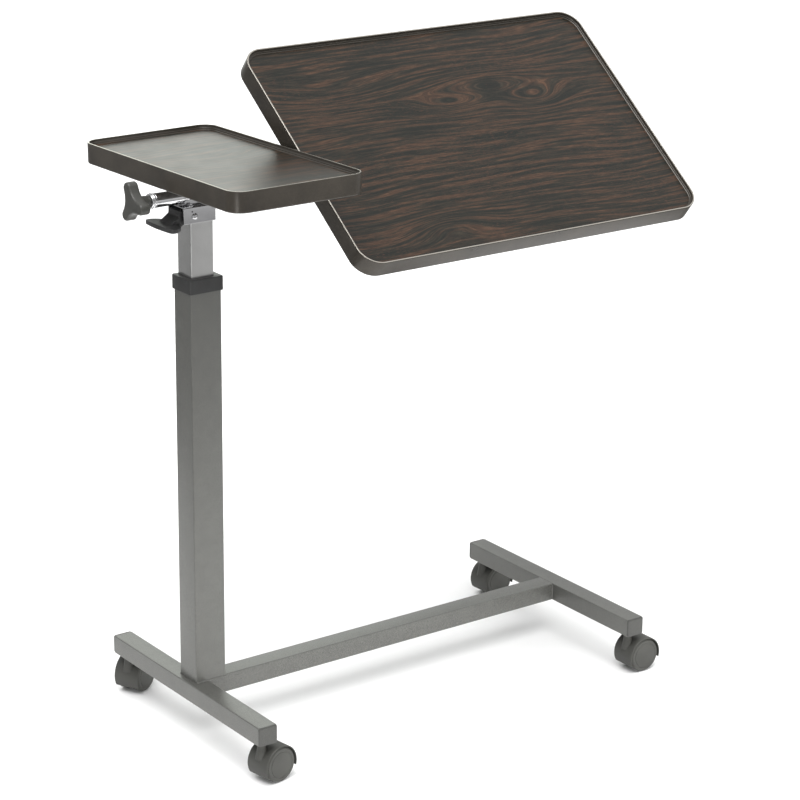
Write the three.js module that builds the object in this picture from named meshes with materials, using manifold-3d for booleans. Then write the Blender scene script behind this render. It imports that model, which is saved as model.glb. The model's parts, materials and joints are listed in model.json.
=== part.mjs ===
// Overbed table with an H-shaped rolling base, a gas-spring mast and a split top.
// Millimetres, +Z up. The base's feet run along Y and its crossbar along X.
// The small top is fixed to the mast head; the large top tilts about the X axis.
import * as THREE from 'three';
import { mergeVertices } from 'three/addons/utils/BufferGeometryUtils.js';
import Module from 'manifold-3d';

const wasm = await Module();
wasm.setup();

// ---- driving dimensions -------------------------------------------------
const CLEAR = 0.3;            // gap between pieces that touch

const FOOT_LENGTH = 400;
const FOOT_WIDTH = 30;
const FOOT_HEIGHT = 28;
const FOOT_WALL = 1.6;
const FOOT_SPACING = 674;     // left foot centre to right foot centre
const FOOT_TOP = 91.5;
const CROSSBAR_WIDTH = 32;
const END_CAP_PLATE = 2.5;
const END_CAP_TONGUE = 5.5;
const SOCKET_RADIUS = 6;      // steel socket in the foot's underside for a caster's stem
const SOCKET_BORE = 4.4;
const SOCKET_FLANGE = 8;
const SOCKET_FLANGE_HEIGHT = 1.3;
const SOCKET_DEPTH = 23;

const MAST_X = 19.2;          // mast centre, measured from the left foot's centre
const MAST_Y = 1.7;
const MAST_WIDTH = 50;
const MAST_DEPTH = 44;
const MAST_WALL = 1.5;
const MAST_CORNER = 2;
const MAST_TOP = 692;
const COLLAR_BOTTOM = 675;
const COLLAR_TOP = 695.5;
const COLLAR_WALL = 2.3;
const COLLAR_CORNER = 3.4;

const INNER_X = 17.5;         // inner tube centre
const INNER_Y = 3.2;
const INNER_WIDTH = 36;
const INNER_DEPTH = 35.4;
const INNER_WALL = 1.5;
const INNER_CORNER = 1.2;
const INNER_BOTTOM = 257;
const INNER_TOP = 777;

const BRACKET_LEFT = -13;     // head bracket, an inverted channel open at both X ends
const BRACKET_RIGHT = 38.5;
const BRACKET_BOTTOM = 774.5;
const BRACKET_TOP = 798.5;
const BRACKET_HALF_DEPTH = 20.2;
const BRACKET_PLATE = 2;

const TILT_AXIS_Z = 810.3;    // support tube and tilt shaft axis, on Y = 0
const SUPPORT_LEFT = -50;
const SUPPORT_RIGHT = 165;
const SUPPORT_RADIUS = 10;
const SUPPORT_WALL = 1.5;
const SHAFT_RADIUS = 7;
const SHAFT_RIGHT = 748;

const TOP_DEPTH = 400;        // both tops, along Y
const TOP_Y = 2.5;            // middle of both tops, from the tilt axis
const SMALL_TOP = { x: [-45.3, 167.5], corner: 24, rimAboveAxis: 46.9 };
const LARGE_TOP = { x: [175, 786], corner: 33, rimAboveAxis: 45.5 };
const SMALL_TOP_LEAN = 1;     // degrees, front edge up: how its saddles sit round the tube
const RIM_HEIGHT = 29.5;
const CORNER_STEPS = 6;       // facets round each corner of board and moulding
const RIM_WALL = 3.2;
const BOARD_DROP = 6.8;       // board's upper face below the rim's upper edge
const BOARD_THICKNESS = 16;
const REBATE_DEPTH = 0.8;     // step round the board's upper edge, where the moulding's bead lies
const BEAD_INSET = 6;         // bead's inner edge, from the moulding's outer face
const TILT_AT_REST = 37.7;    // degrees, rear edge up
const TILT_LIMIT = 45;        // degrees either way from level
const STOP_LENGTH = 7;        // stop key on the shaft, in a notch of the support tube's end
const STOP_HALF_WIDTH = 3;

const SADDLE_PLATE = [26, 84, 2.5];   // plate under a board, along X, Y and Z
const SADDLE_RIB = [14, 26];
const SMALL_SADDLES_X = [8, 128];
const LARGE_SADDLES_X = [235, 715];

const PIVOT_RADIUS = 3;
const LEVER_PIVOT_X = 4.8;
const LEVER_PIVOT_Z = 784.2;
const LEVER_DEPTH = 30;
const LEVER_SEAT = 780.4;     // lever's underside above the gas spring's rod
const PADDLE_BOTTOM = 769.5;
const PADDLE_THICKNESS = 6;

const KNOB_FACE_X = -88;
const KNOB_THICKNESS = 16.5;
const KNOB_TIP_RADIUS = 30.5;
const KNOB_LOBE = 7;          // radius of each arm's round tip
const KNOB_WAIST = 9;         // control radius of the hollow flank between two arms
const KNOB_ANGLE = 22.7;      // degrees of the first arm from straight up, towards +Y
const STUD_RADIUS = 4;

const WHEEL_RADIUS = 26;
const WHEEL_INNER = 5.6;      // wheel's inner face, from the caster's middle
const WHEEL_OUTER = 20.3;
const TRAIL = 20;             // stem axis to axle
const STEM_INSET = 17.5;      // stem axis from the foot's end
const HOOD_RADIUS = 29;
const HOOD_WALL = 1.8;
const HOOD_OPENING = [211, 344];      // degrees from the trailing side, round the axle
const HOOD_HUB = 8;
const BOSS_RADIUS = 6.4;
const STEM_RADIUS = 4;
const AXLE_RADIUS = 2.3;

// ---- finishes -----------------------------------------------------------
const finish = (color, roughness, metalness) => () =>
  new THREE.MeshStandardMaterial({ color, roughness, metalness });
const powderCoat = finish(0x7d7c75, 0.5, 0.4);
const chrome = finish(0xc9cacc, 0.15, 1.0);
const steel = finish(0x9a9b9c, 0.35, 1.0);
const blackPlastic = finish(0x232322, 0.45, 0.0);
const knobPlastic = finish(0x45453f, 0.5, 0.0);
const casterPlastic = finish(0x4a4944, 0.6, 0.0);
const laminate = finish(0x35241f, 0.4, 0.0);
const moulding = finish(0x3f382f, 0.45, 0.0);
const whitePlastic = finish(0xd8d6cf, 0.5, 0.0);

// ---- helpers ------------------------------------------------------------
const table = new THREE.Group();

function add(parent, name, geometry, material) {
  const mesh = new THREE.Mesh(geometry, material());
  mesh.name = name;
  parent.add(mesh);
  return mesh;
}

function toSolid(geometry) {
  const bare = geometry.clone();
  bare.deleteAttribute('normal');
  bare.deleteAttribute('uv');
  const merged = mergeVertices(bare, 1e-4);
  return new wasm.Manifold(new wasm.Mesh({
    numProp: 3,
    vertProperties: new Float32Array(merged.attributes.position.array),
    triVerts: new Uint32Array(merged.index.array),
  }));
}

function toGeometry(solid) {
  const mesh = solid.getMesh();
  const geometry = new THREE.BufferGeometry();
  geometry.setAttribute('position', new THREE.BufferAttribute(mesh.vertProperties, 3));
  geometry.setIndex(new THREE.BufferAttribute(mesh.triVerts, 1));
  geometry.computeVertexNormals();
  return geometry;
}

// Joins the first solid with the rest of `joined`, then cuts each of `cuts` from it.
function carve(joined, cuts = []) {
  let solid = toSolid(joined[0]);
  for (const geometry of joined.slice(1)) solid = solid.add(toSolid(geometry));
  for (const geometry of cuts) solid = solid.subtract(toSolid(geometry));
  return toGeometry(solid);
}

function box([x0, x1], [y0, y1], [z0, z1]) {
  const geometry = new THREE.BoxGeometry(x1 - x0, y1 - y0, z1 - z0);
  return geometry.translate((x0 + x1) / 2, (y0 + y1) / 2, (z0 + z1) / 2);
}

const span = (middle, size) => [middle - size / 2, middle + size / 2];

function roundedRectangle(target, width, depth, radius) {
  const [w, d] = [width / 2, depth / 2];
  target.moveTo(w - radius, -d);
  target.absarc(w - radius, -d + radius, radius, -Math.PI / 2, 0, false);
  target.absarc(w - radius, d - radius, radius, 0, Math.PI / 2, false);
  target.absarc(-w + radius, d - radius, radius, Math.PI / 2, Math.PI, false);
  target.absarc(-w + radius, -d + radius, radius, Math.PI, 1.5 * Math.PI, false);
  target.closePath();
  return target;
}

// Rectangular tube standing on z = 0, its corners rounded.
function rectangularTube(width, depth, wall, length, corner = 2.5) {
  const shape = roundedRectangle(new THREE.Shape(), width, depth, corner);
  const bore = Math.max(corner - wall, 0.6);
  shape.holes.push(roundedRectangle(new THREE.Path(), width - 2 * wall, depth - 2 * wall, bore));
  return new THREE.ExtrudeGeometry(shape, { depth: length, bevelEnabled: false, curveSegments: 2 });
}

function slab(shape, thickness, curveSegments = 8) {
  return new THREE.ExtrudeGeometry(shape, { depth: thickness, bevelEnabled: false, curveSegments });
}

// Revolves [radius, height] pairs about Z.
function turned(profile, segments = 24) {
  const points = profile.map(([radius, height]) => new THREE.Vector2(radius, height));
  return new THREE.LatheGeometry(points, segments).rotateX(Math.PI / 2);
}

// Revolves [radius, x] pairs about X.
function turnedAlongX(profile, segments = 24) {
  return turned(profile, segments).rotateY(Math.PI / 2);
}

function tubeProfile(inner, outer, from, to) {
  return [[inner, from], [outer, from], [outer, to], [inner, to], [inner, from]];
}

// Sweeps a closed [inset, height] section round a rounded rectangle centred on the origin.
function ringSweep(width, depth, radius, section) {
  const [w, d] = [width / 2 - radius, depth / 2 - radius];
  const corners = [[w, -d, -0.5], [w, d, 0], [-w, d, 0.5], [-w, -d, 1]];
  const positions = [];
  for (const [cx, cy, start] of corners) {
    for (let step = 0; step <= CORNER_STEPS; step += 1) {
      const angle = Math.PI * (start + 0.5 * step / CORNER_STEPS);
      for (const [inset, height] of section) {
        const reach = radius - inset;
        positions.push(cx + reach * Math.cos(angle), cy + reach * Math.sin(angle), height);
      }
    }
  }
  const rows = corners.length * (CORNER_STEPS + 1);
  const columns = section.length;
  const index = [];
  for (let row = 0; row < rows; row += 1) {
    for (let column = 0; column < columns; column += 1) {
      const nextRow = (row + 1) % rows;
      const nextColumn = (column + 1) % columns;
      const a = row * columns + column;
      const b = nextRow * columns + column;
      const c = nextRow * columns + nextColumn;
      const e = row * columns + nextColumn;
      index.push(a, b, c, a, c, e);
    }
  }
  const geometry = new THREE.BufferGeometry();
  geometry.setAttribute('position', new THREE.Float32BufferAttribute(positions, 3));
  geometry.setIndex(index);
  geometry.computeVertexNormals();
  return geometry;
}

// ---- base ---------------------------------------------------------------
const FOOT_BOTTOM = FOOT_TOP - FOOT_HEIGHT;
const FOOT_MID_Z = FOOT_TOP - FOOT_HEIGHT / 2;
const STEM_Y = FOOT_LENGTH / 2 - STEM_INSET;
const SIDES = [['left', 0], ['right', FOOT_SPACING]];
const ENDS = [['front', -1], ['rear', 1]];

function footTube(x) {
  const length = FOOT_LENGTH - 2 * (END_CAP_PLATE + CLEAR);
  const tube = rectangularTube(FOOT_WIDTH, FOOT_HEIGHT, FOOT_WALL, length);
  tube.rotateX(-Math.PI / 2).translate(x, -length / 2, FOOT_MID_Z);
  const holes = ENDS.map(([, side]) => {
    const radius = SOCKET_RADIUS + CLEAR;
    const hole = new THREE.CylinderGeometry(radius, radius, 8, 20).rotateX(Math.PI / 2);
    return hole.translate(x, side * STEM_Y, FOOT_BOTTOM);
  });
  return carve([tube], holes);
}

function endCap(x, side) {
  const plateShape = roundedRectangle(new THREE.Shape(), FOOT_WIDTH, FOOT_HEIGHT, 3);
  const plug = FOOT_WALL + CLEAR;
  const plugShape = roundedRectangle(new THREE.Shape(),
    FOOT_WIDTH - 2 * plug, FOOT_HEIGHT - 2 * plug, 1);
  const plate = slab(plateShape, END_CAP_PLATE, 3);
  const tongue = slab(plugShape, END_CAP_TONGUE + 0.5, 2).translate(0, 0, -END_CAP_TONGUE);
  const cap = carve([plate, tongue]);
  cap.rotateX(side < 0 ? Math.PI / 2 : -Math.PI / 2);
  return cap.translate(x, side * (FOOT_LENGTH / 2 - END_CAP_PLATE), FOOT_MID_Z);
}

function crossbar() {
  const from = FOOT_WIDTH / 2 + CLEAR;
  const length = FOOT_SPACING - 2 * from;
  const tube = rectangularTube(FOOT_HEIGHT, CROSSBAR_WIDTH, FOOT_WALL, length);
  return tube.rotateY(Math.PI / 2).translate(from, 0, FOOT_MID_Z);
}

function stemSocket(x, side) {
  const bottom = -CLEAR - SOCKET_FLANGE_HEIGHT;
  const profile = [
    [SOCKET_BORE, bottom], [SOCKET_FLANGE, bottom], [SOCKET_FLANGE, -CLEAR], [SOCKET_RADIUS, -CLEAR],
    [SOCKET_RADIUS, SOCKET_DEPTH], [SOCKET_BORE, SOCKET_DEPTH], [SOCKET_BORE, bottom],
  ];
  return turned(profile, 20).translate(x, side * STEM_Y, FOOT_BOTTOM);
}

function buildBase() {
  for (const [sideName, x] of SIDES) {
    add(table, `foot_${sideName}`, footTube(x), powderCoat);
    for (const [endName, side] of ENDS) {
      add(table, `end_cap_${sideName}_${endName}`, endCap(x, side), powderCoat);
      add(table, `stem_socket_${sideName}_${endName}`, stemSocket(x, side), steel);
    }
  }
  add(table, 'crossbar', crossbar(), powderCoat);
}

// ---- mast ---------------------------------------------------------------
function mastTube() {
  const from = FOOT_TOP + CLEAR;
  const tube = rectangularTube(MAST_WIDTH, MAST_DEPTH, MAST_WALL, MAST_TOP - from,
    MAST_CORNER);
  return tube.translate(MAST_X, MAST_Y, from);
}

// Plastic cap over the mast's mouth, its top plate closing in on the inner tube.
function mastCollar() {
  const outer = COLLAR_WALL + CLEAR;
  const body = slab(roundedRectangle(new THREE.Shape(),
    MAST_WIDTH + 2 * outer, MAST_DEPTH + 2 * outer, COLLAR_CORNER), COLLAR_TOP - COLLAR_BOTTOM, 3);
  body.translate(MAST_X, MAST_Y, COLLAR_BOTTOM);
  const mouth = box(span(MAST_X, MAST_WIDTH + 2 * CLEAR), span(MAST_Y, MAST_DEPTH + 2 * CLEAR),
    [COLLAR_BOTTOM - 1, MAST_TOP + CLEAR]);
  const hole = box(span(INNER_X, INNER_WIDTH + 1), span(INNER_Y, INNER_DEPTH + 1),
    [COLLAR_BOTTOM, COLLAR_TOP + 1]);
  return carve([body], [mouth, hole]);
}

// Plastic sleeve between the mast and the inner tube.
function guideSleeve(bottom, height) {
  const gap = MAST_WALL + 2 * CLEAR;
  const outside = box(span(MAST_X, MAST_WIDTH - 2 * gap), span(MAST_Y, MAST_DEPTH - 2 * gap),
    [bottom, bottom + height]);
  const inside = box(span(INNER_X, INNER_WIDTH + 2 * CLEAR), span(INNER_Y, INNER_DEPTH + 2 * CLEAR),
    [bottom - 1, bottom + height + 1]);
  return carve([outside], [inside]);
}

const CYLINDER_BOTTOM = 104;
const CYLINDER_TOP = 524;
const ROD_RADIUS = 5;

function springAnchor() {
  const z = FOOT_TOP + 2 * CLEAR;
  const plate = box(span(MAST_X, MAST_WIDTH - 4), span(MAST_Y, MAST_DEPTH - 4), [z, z + 4]);
  const seat = new THREE.CylinderGeometry(9, 9, 8, 20).rotateX(Math.PI / 2);
  seat.translate(INNER_X, INNER_Y, z + 7);
  const cup = new THREE.CylinderGeometry(4.4, 4.4, 10, 16).rotateX(Math.PI / 2);
  cup.translate(INNER_X, INNER_Y, z + 9);
  return carve([plate, seat], [cup]);
}

function springCylinder() {
  const profile = [
    [0, CYLINDER_BOTTOM - 6], [4, CYLINDER_BOTTOM - 6], [4, CYLINDER_BOTTOM],
    [11, CYLINDER_BOTTOM], [11, CYLINDER_TOP], [ROD_RADIUS + CLEAR, CYLINDER_TOP],
    [ROD_RADIUS + CLEAR, CYLINDER_TOP - 12], [9.5, CYLINDER_TOP - 12],
    [9.5, CYLINDER_BOTTOM + 4], [0, CYLINDER_BOTTOM + 4],
  ];
  return turned(profile, 20).translate(INNER_X, INNER_Y, 0);
}

function buildMast() {
  add(table, 'mast_tube', mastTube(), powderCoat);
  add(table, 'mast_collar', mastCollar(), blackPlastic);
  add(table, 'upper_guide', guideSleeve(640, MAST_TOP - 640), whitePlastic);
  add(table, 'spring_anchor', springAnchor(), steel);
  add(table, 'spring_cylinder', springCylinder(), steel);
}

// ---- lifting column and head -------------------------------------------
const ROD_TOP = 776;

function innerTube() {
  const tube = rectangularTube(INNER_WIDTH, INNER_DEPTH, INNER_WALL,
    INNER_TOP - INNER_BOTTOM, INNER_CORNER);
  return tube.translate(INNER_X, INNER_Y, INNER_BOTTOM);
}

// Sleeve fixed round the inner tube's lower end.
function lowerGlide() {
  return guideSleeve(INNER_BOTTOM + 1, 34);
}

function springRod() {
  const profile = [
    [0, 198], [9.1, 198], [9.1, 210], [ROD_RADIUS, 210], [ROD_RADIUS, ROD_TOP],
    [4, ROD_TOP], [4, ROD_TOP - 10], [0, ROD_TOP - 10],
  ];
  return turned(profile, 20).translate(INNER_X, INNER_Y, 0);
}

// Cross plate that holds the rod's head inside the inner tube's upper end.
function rodPlate() {
  const inside = 2 * (INNER_WALL + CLEAR);
  const plate = box(span(INNER_X, INNER_WIDTH - inside), span(INNER_Y, INNER_DEPTH - inside), [764, 768]);
  const hole = new THREE.CylinderGeometry(5.3, 5.3, 10, 20).rotateX(Math.PI / 2);
  return carve([plate], [hole.translate(INNER_X, INNER_Y, 766)]);
}

function headBracket() {
  const [left, right] = [BRACKET_LEFT, BRACKET_RIGHT];
  const outside = box([left, right], span(INNER_Y, 2 * BRACKET_HALF_DEPTH),
    [BRACKET_BOTTOM, BRACKET_TOP]);
  const inside = box([left - 1, right + 1], span(INNER_Y, 2 * (BRACKET_HALF_DEPTH - BRACKET_PLATE)),
    [BRACKET_BOTTOM - 1, BRACKET_TOP - BRACKET_PLATE]);
  const pinHole = new THREE.CylinderGeometry(PIVOT_RADIUS + CLEAR, PIVOT_RADIUS + CLEAR, 60, 20);
  pinHole.translate(LEVER_PIVOT_X, INNER_Y, LEVER_PIVOT_Z);
  return carve([outside], [inside, pinHole]);
}

// Domed rivet whose shank is the lever's pivot.
function leverPivotPin() {
  const shank = BRACKET_HALF_DEPTH + CLEAR;
  const profile = [
    [0, -shank - 2.4], [2.6, -shank - 2.2], [4.3, -shank - 1.1], [4.6, -shank],
    [PIVOT_RADIUS, -shank], [PIVOT_RADIUS, shank],
    [4.6, shank], [4.3, shank + 1.1], [2.6, shank + 2.2], [0, shank + 2.4],
  ];
  const pin = turned(profile, 20).rotateX(Math.PI / 2);
  return pin.translate(LEVER_PIVOT_X, INNER_Y, LEVER_PIVOT_Z);
}

// Cradle under the support tube, standing on the bracket.
function tubeSaddle() {
  const bottom = BRACKET_TOP + CLEAR;
  const block = box([-6, 32], [-9.5, 9.5], [bottom, TILT_AXIS_Z - 4]);
  const reach = SUPPORT_RADIUS + CLEAR;
  const seat = turnedAlongX([[0, -20], [reach, -20], [reach, 60], [0, 60]], 32);
  return carve([block], [seat.translate(0, 0, TILT_AXIS_Z)]);
}

// Fan of `halfAngle` degrees either side of +Z, reaching from x0 to x1.
function upwardSector(halfAngle, x0, x1) {
  const angle = THREE.MathUtils.degToRad(halfAngle);
  const reach = 30;
  const fan = new THREE.Shape();
  fan.moveTo(0, 0);
  fan.lineTo(reach * Math.sin(angle), reach * Math.cos(angle));
  fan.lineTo(0, 3 * reach);
  fan.lineTo(-reach * Math.sin(angle), reach * Math.cos(angle));
  fan.closePath();
  const sector = slab(fan, x1 - x0);
  const basis = new THREE.Matrix4().makeBasis(
    new THREE.Vector3(0, 1, 0), new THREE.Vector3(0, 0, 1), new THREE.Vector3(1, 0, 0));
  return sector.applyMatrix4(basis).translate(x0, 0, 0);
}

// The notch in its right end lets the shaft's stop key swing TILT_LIMIT either way.
function supportTube() {
  const inner = SUPPORT_RADIUS - SUPPORT_WALL;
  const tube = turnedAlongX(tubeProfile(inner, SUPPORT_RADIUS, SUPPORT_LEFT, SUPPORT_RIGHT), 32);
  const keyAngle = THREE.MathUtils.radToDeg(Math.asin(STOP_HALF_WIDTH / inner));
  const notch = upwardSector(TILT_LIMIT + keyAngle + 1, SUPPORT_RIGHT - STOP_LENGTH, SUPPORT_RIGHT + 5);
  return carve([tube], [notch]).translate(0, 0, TILT_AXIS_Z);
}

function shaftBush(from, to) {
  const inner = SHAFT_RADIUS + CLEAR;
  const outer = SUPPORT_RADIUS - SUPPORT_WALL - CLEAR;
  return turnedAlongX(tubeProfile(inner, outer, from, to), 24).translate(0, 0, TILT_AXIS_Z);
}

// Saddle that joins a 20 mm tube to a board's underside: a plate with a notched rib.
// Written about the tube's axis, with the plate `height` above it.
function boardSaddle(x, height) {
  const [plateWidth, plateDepth, thickness] = SADDLE_PLATE;
  const plate = box(span(x, plateWidth), span(0, plateDepth), [height - thickness, height]);
  const rib = box(span(x, SADDLE_RIB[0]), span(0, SADDLE_RIB[1]), [-2, height - thickness / 2]);
  const seat = turnedAlongX([[0, x - 20], [SUPPORT_RADIUS + CLEAR, x - 20],
    [SUPPORT_RADIUS + CLEAR, x + 20], [0, x + 20]], 32);
  return carve([plate, rib], [seat]);
}

function rimSection() {
  const bottom = -RIM_HEIGHT;
  const beadBottom = -BOARD_DROP - REBATE_DEPTH + CLEAR;
  const boardBottom = -BOARD_DROP - BOARD_THICKNESS;
  return [
    [0, bottom + 4], [0, -1.2], [0.9, -0.2], [1.8, 0], [2.6, -0.5], [3, -1.4],
    [3.6, beadBottom + 2], [4.8, beadBottom + 1], [BEAD_INSET, beadBottom],
    [RIM_WALL, beadBottom], [RIM_WALL, boardBottom - CLEAR],
    [7, boardBottom - CLEAR], [7, boardBottom - 2], [3.4, boardBottom - 2.4],
    [3, bottom + 0.8], [1.6, bottom + 0.2], [0.5, bottom + 1.4],
  ];
}

// Board and edge moulding of one top, about the tilt axis.
function buildTop(parent, name, { x: [x0, x1], corner, rimAboveAxis: height }) {
  const width = x1 - x0;
  const middle = (x0 + x1) / 2;
  // An arc in a THREE.Shape gets twice as many facets as curveSegments says.
  const layer = (inset, thickness) => slab(roundedRectangle(new THREE.Shape(),
    width - 2 * inset, TOP_DEPTH - 2 * inset, corner - inset), thickness, CORNER_STEPS / 2);
  const lower = layer(RIM_WALL + CLEAR, BOARD_THICKNESS - REBATE_DEPTH);
  const board = carve([lower, layer(BEAD_INSET + CLEAR, BOARD_THICKNESS)]);
  board.translate(middle, TOP_Y, height - BOARD_DROP - BOARD_THICKNESS);
  add(parent, `${name}_board`, board, laminate);
  const rim = ringSweep(width, TOP_DEPTH, corner, rimSection());
  add(parent, `${name}_rim`, rim.translate(middle, TOP_Y, height), moulding);
}

function addSaddles(parent, name, { rimAboveAxis }, [left, right]) {
  const underside = rimAboveAxis - BOARD_DROP - BOARD_THICKNESS - CLEAR;
  add(parent, `${name}_saddle_left`, boardSaddle(left, underside), chrome);
  add(parent, `${name}_saddle_right`, boardSaddle(right, underside), chrome);
}

function buildHead() {
  add(table, 'inner_tube', innerTube(), chrome);
  add(table, 'lower_glide', lowerGlide(), whitePlastic);
  add(table, 'spring_rod', springRod(), steel);
  add(table, 'rod_plate', rodPlate(), steel);
  add(table, 'head_bracket', headBracket(), chrome);
  add(table, 'lever_pivot_pin', leverPivotPin(), chrome);
  add(table, 'tube_saddle', tubeSaddle(), chrome);
  add(table, 'support_tube', supportTube(), chrome);
  add(table, 'shaft_bush_left', shaftBush(SUPPORT_LEFT + 1, SUPPORT_LEFT + 25), whitePlastic);
  add(table, 'shaft_bush_right', shaftBush(SUPPORT_RIGHT - 32, SUPPORT_RIGHT - 8), whitePlastic);
  const top = new THREE.Group();
  top.position.set(0, 0, TILT_AXIS_Z);
  top.rotation.x = -THREE.MathUtils.degToRad(SMALL_TOP_LEAN);
  table.add(top);
  buildTop(top, 'small', SMALL_TOP);
  addSaddles(top, 'small', SMALL_TOP, SMALL_SADDLES_X);
}

// ---- release lever ------------------------------------------------------
function leverBody() {
  const side = new THREE.Shape();
  side.moveTo(20, LEVER_SEAT);
  side.lineTo(20, 785);
  side.lineTo(12, 791);
  side.lineTo(4, 793);
  side.lineTo(-16, 793);
  side.lineTo(-16.5, 785.5);
  side.lineTo(-31, 775.5);
  side.lineTo(-31, 770);
  side.lineTo(-17, PADDLE_BOTTOM);
  side.quadraticCurveTo(-9, 772, -6, 779.2);
  side.lineTo(12, 779.2);
  side.lineTo(14, LEVER_SEAT);
  side.closePath();
  return slab(side, LEVER_DEPTH, 5).rotateX(Math.PI / 2).translate(0, LEVER_DEPTH / 2, 0);
}

// Finger paddle seen from above, in X and Y about the lever's middle plane.
function leverPaddle() {
  const plan = new THREE.Shape();
  plan.moveTo(-17, -16);
  plan.quadraticCurveTo(-20, -30, -33, -37.5);
  plan.quadraticCurveTo(-42, -40, -43.5, -32);
  plan.quadraticCurveTo(-45.5, -16, -45.5, 0);
  plan.quadraticCurveTo(-45.5, 16, -43.5, 29);
  plan.quadraticCurveTo(-42, 35, -33, 33);
  plan.quadraticCurveTo(-20, 27, -17, 14);
  plan.closePath();
  return slab(plan, PADDLE_THICKNESS, 5).translate(0, 0, PADDLE_BOTTOM);
}

function leverBore() {
  const bore = new THREE.CylinderGeometry(PIVOT_RADIUS + CLEAR, PIVOT_RADIUS + CLEAR, 80, 20);
  return bore.translate(LEVER_PIVOT_X, 0, LEVER_PIVOT_Z);
}

// Stud set in the lever's underside; its tip presses the valve inside the rod's open end.
function releasePin() {
  const tip = ROD_TOP - 2;
  const top = LEVER_SEAT - CLEAR;
  const profile = [[0, tip], [1.2, tip], [1.9, tip + 0.8], [1.9, top], [0, top]];
  return turned(profile, 16).translate(INNER_X, INNER_Y, 0);
}

function buildLever() {
  const lever = carve([leverBody(), leverPaddle()], [leverBore()]);
  add(table, 'release_lever', lever.translate(0, INNER_Y, 0), blackPlastic);
  add(table, 'release_pin', releasePin(), steel);
}

// ---- tilting top --------------------------------------------------------
const WASHER_X = [-57.3, SUPPORT_LEFT - CLEAR];
const HUB_RIGHT = WASHER_X[0] - CLEAR;
const SHAFT_LEFT = -52;
const STUD_HOLE_END = -20;

function tiltShaft() {
  const shoulder = SUPPORT_RIGHT + 0.8;
  const profile = [
    [0, SHAFT_RIGHT], [SUPPORT_RADIUS, SHAFT_RIGHT], [SUPPORT_RADIUS, shoulder],
    [SHAFT_RADIUS, shoulder], [SHAFT_RADIUS, SHAFT_LEFT], [STUD_RADIUS + 0.4, SHAFT_LEFT],
    [STUD_RADIUS + 0.4, STUD_HOLE_END], [0, STUD_HOLE_END],
  ].reverse();
  const key = box([SUPPORT_RIGHT - STOP_LENGTH + 1, shoulder + 1],
    [-STOP_HALF_WIDTH, STOP_HALF_WIDTH], [SHAFT_RADIUS - 2, SUPPORT_RADIUS - 0.4]);
  return carve([turnedAlongX(profile, 28), key]);
}

function thrustWasher() {
  const [left, right] = WASHER_X;
  const middle = (left + right) / 2;
  const profile = [
    [SHAFT_RADIUS + CLEAR, left], [9.8, left], [10.8, left + 1], [10.2, middle],
    [10.8, right - 1], [10.2, right], [SHAFT_RADIUS + CLEAR, right], [SHAFT_RADIUS + CLEAR, left],
  ];
  return turnedAlongX(profile, 28);
}

// Three-armed outline: round tips joined by hollow flanks.
function knobOutline() {
  const shape = new THREE.Shape();
  const reach = KNOB_TIP_RADIUS - KNOB_LOBE;
  const third = 2 * Math.PI / 3;
  const halfArc = 1.7;
  const lobePoint = (middle, angle) => [reach * Math.cos(middle) + KNOB_LOBE * Math.cos(angle),
    reach * Math.sin(middle) + KNOB_LOBE * Math.sin(angle)];
  for (let arm = 0; arm < 3; arm += 1) {
    const angle = arm * third;
    if (arm === 0) shape.moveTo(...lobePoint(angle, angle - halfArc));
    shape.absarc(reach * Math.cos(angle), reach * Math.sin(angle), KNOB_LOBE,
      angle - halfArc, angle + halfArc, false);
    const next = angle + third;
    const waist = angle + third / 2;
    shape.quadraticCurveTo(KNOB_WAIST * Math.cos(waist), KNOB_WAIST * Math.sin(waist),
      ...lobePoint(next, next - halfArc));
  }
  return shape;
}

function clampKnob() {
  const edge = 1.6;
  const body = new THREE.ExtrudeGeometry(knobOutline(), {
    depth: KNOB_THICKNESS - 2 * edge, bevelThickness: edge, bevelSize: edge, bevelOffset: -edge,
    bevelSegments: 1, curveSegments: 5,
  });
  // The outline's own X axis becomes up and its own Y axis becomes +Y.
  body.applyMatrix4(new THREE.Matrix4().makeBasis(
    new THREE.Vector3(0, 0, 1), new THREE.Vector3(0, 1, 0), new THREE.Vector3(-1, 0, 0)));
  body.translate(KNOB_FACE_X + KNOB_THICKNESS - edge, 0, 0);
  body.rotateX(-THREE.MathUtils.degToRad(KNOB_ANGLE));
  const back = KNOB_FACE_X + KNOB_THICKNESS;
  const hub = turnedAlongX([[0, back - 2], [9.5, back - 2], [7.8, HUB_RIGHT], [0, HUB_RIGHT]], 24);
  const bore = turnedAlongX([[0, KNOB_FACE_X + 4], [STUD_RADIUS + CLEAR, KNOB_FACE_X + 4],
    [STUD_RADIUS + CLEAR, HUB_RIGHT + 1], [0, HUB_RIGHT + 1]], 20);
  return carve([body, hub], [bore]);
}

function knobStud() {
  const [left, right] = [KNOB_FACE_X + 4.5, STUD_HOLE_END - 5];
  return turnedAlongX([[0, left], [STUD_RADIUS, left], [STUD_RADIUS, right - 1],
    [STUD_RADIUS - 1, right], [0, right]], 20);
}

function buildTiltingTop() {
  const tilting = new THREE.Group();
  tilting.position.set(0, 0, TILT_AXIS_Z);
  tilting.rotation.x = THREE.MathUtils.degToRad(TILT_AT_REST);
  table.add(tilting);
  add(tilting, 'tilt_shaft', tiltShaft(), chrome);
  buildTop(tilting, 'large', LARGE_TOP);
  addSaddles(tilting, 'large', LARGE_TOP, LARGE_SADDLES_X);
  const clamp = new THREE.Group();
  clamp.position.set(0, 0, TILT_AXIS_Z);
  table.add(clamp);
  add(clamp, 'thrust_washer', thrustWasher(), chrome);
  add(clamp, 'clamp_knob', clampKnob(), knobPlastic);
  add(clamp, 'knob_stud', knobStud(), steel);
}

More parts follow.
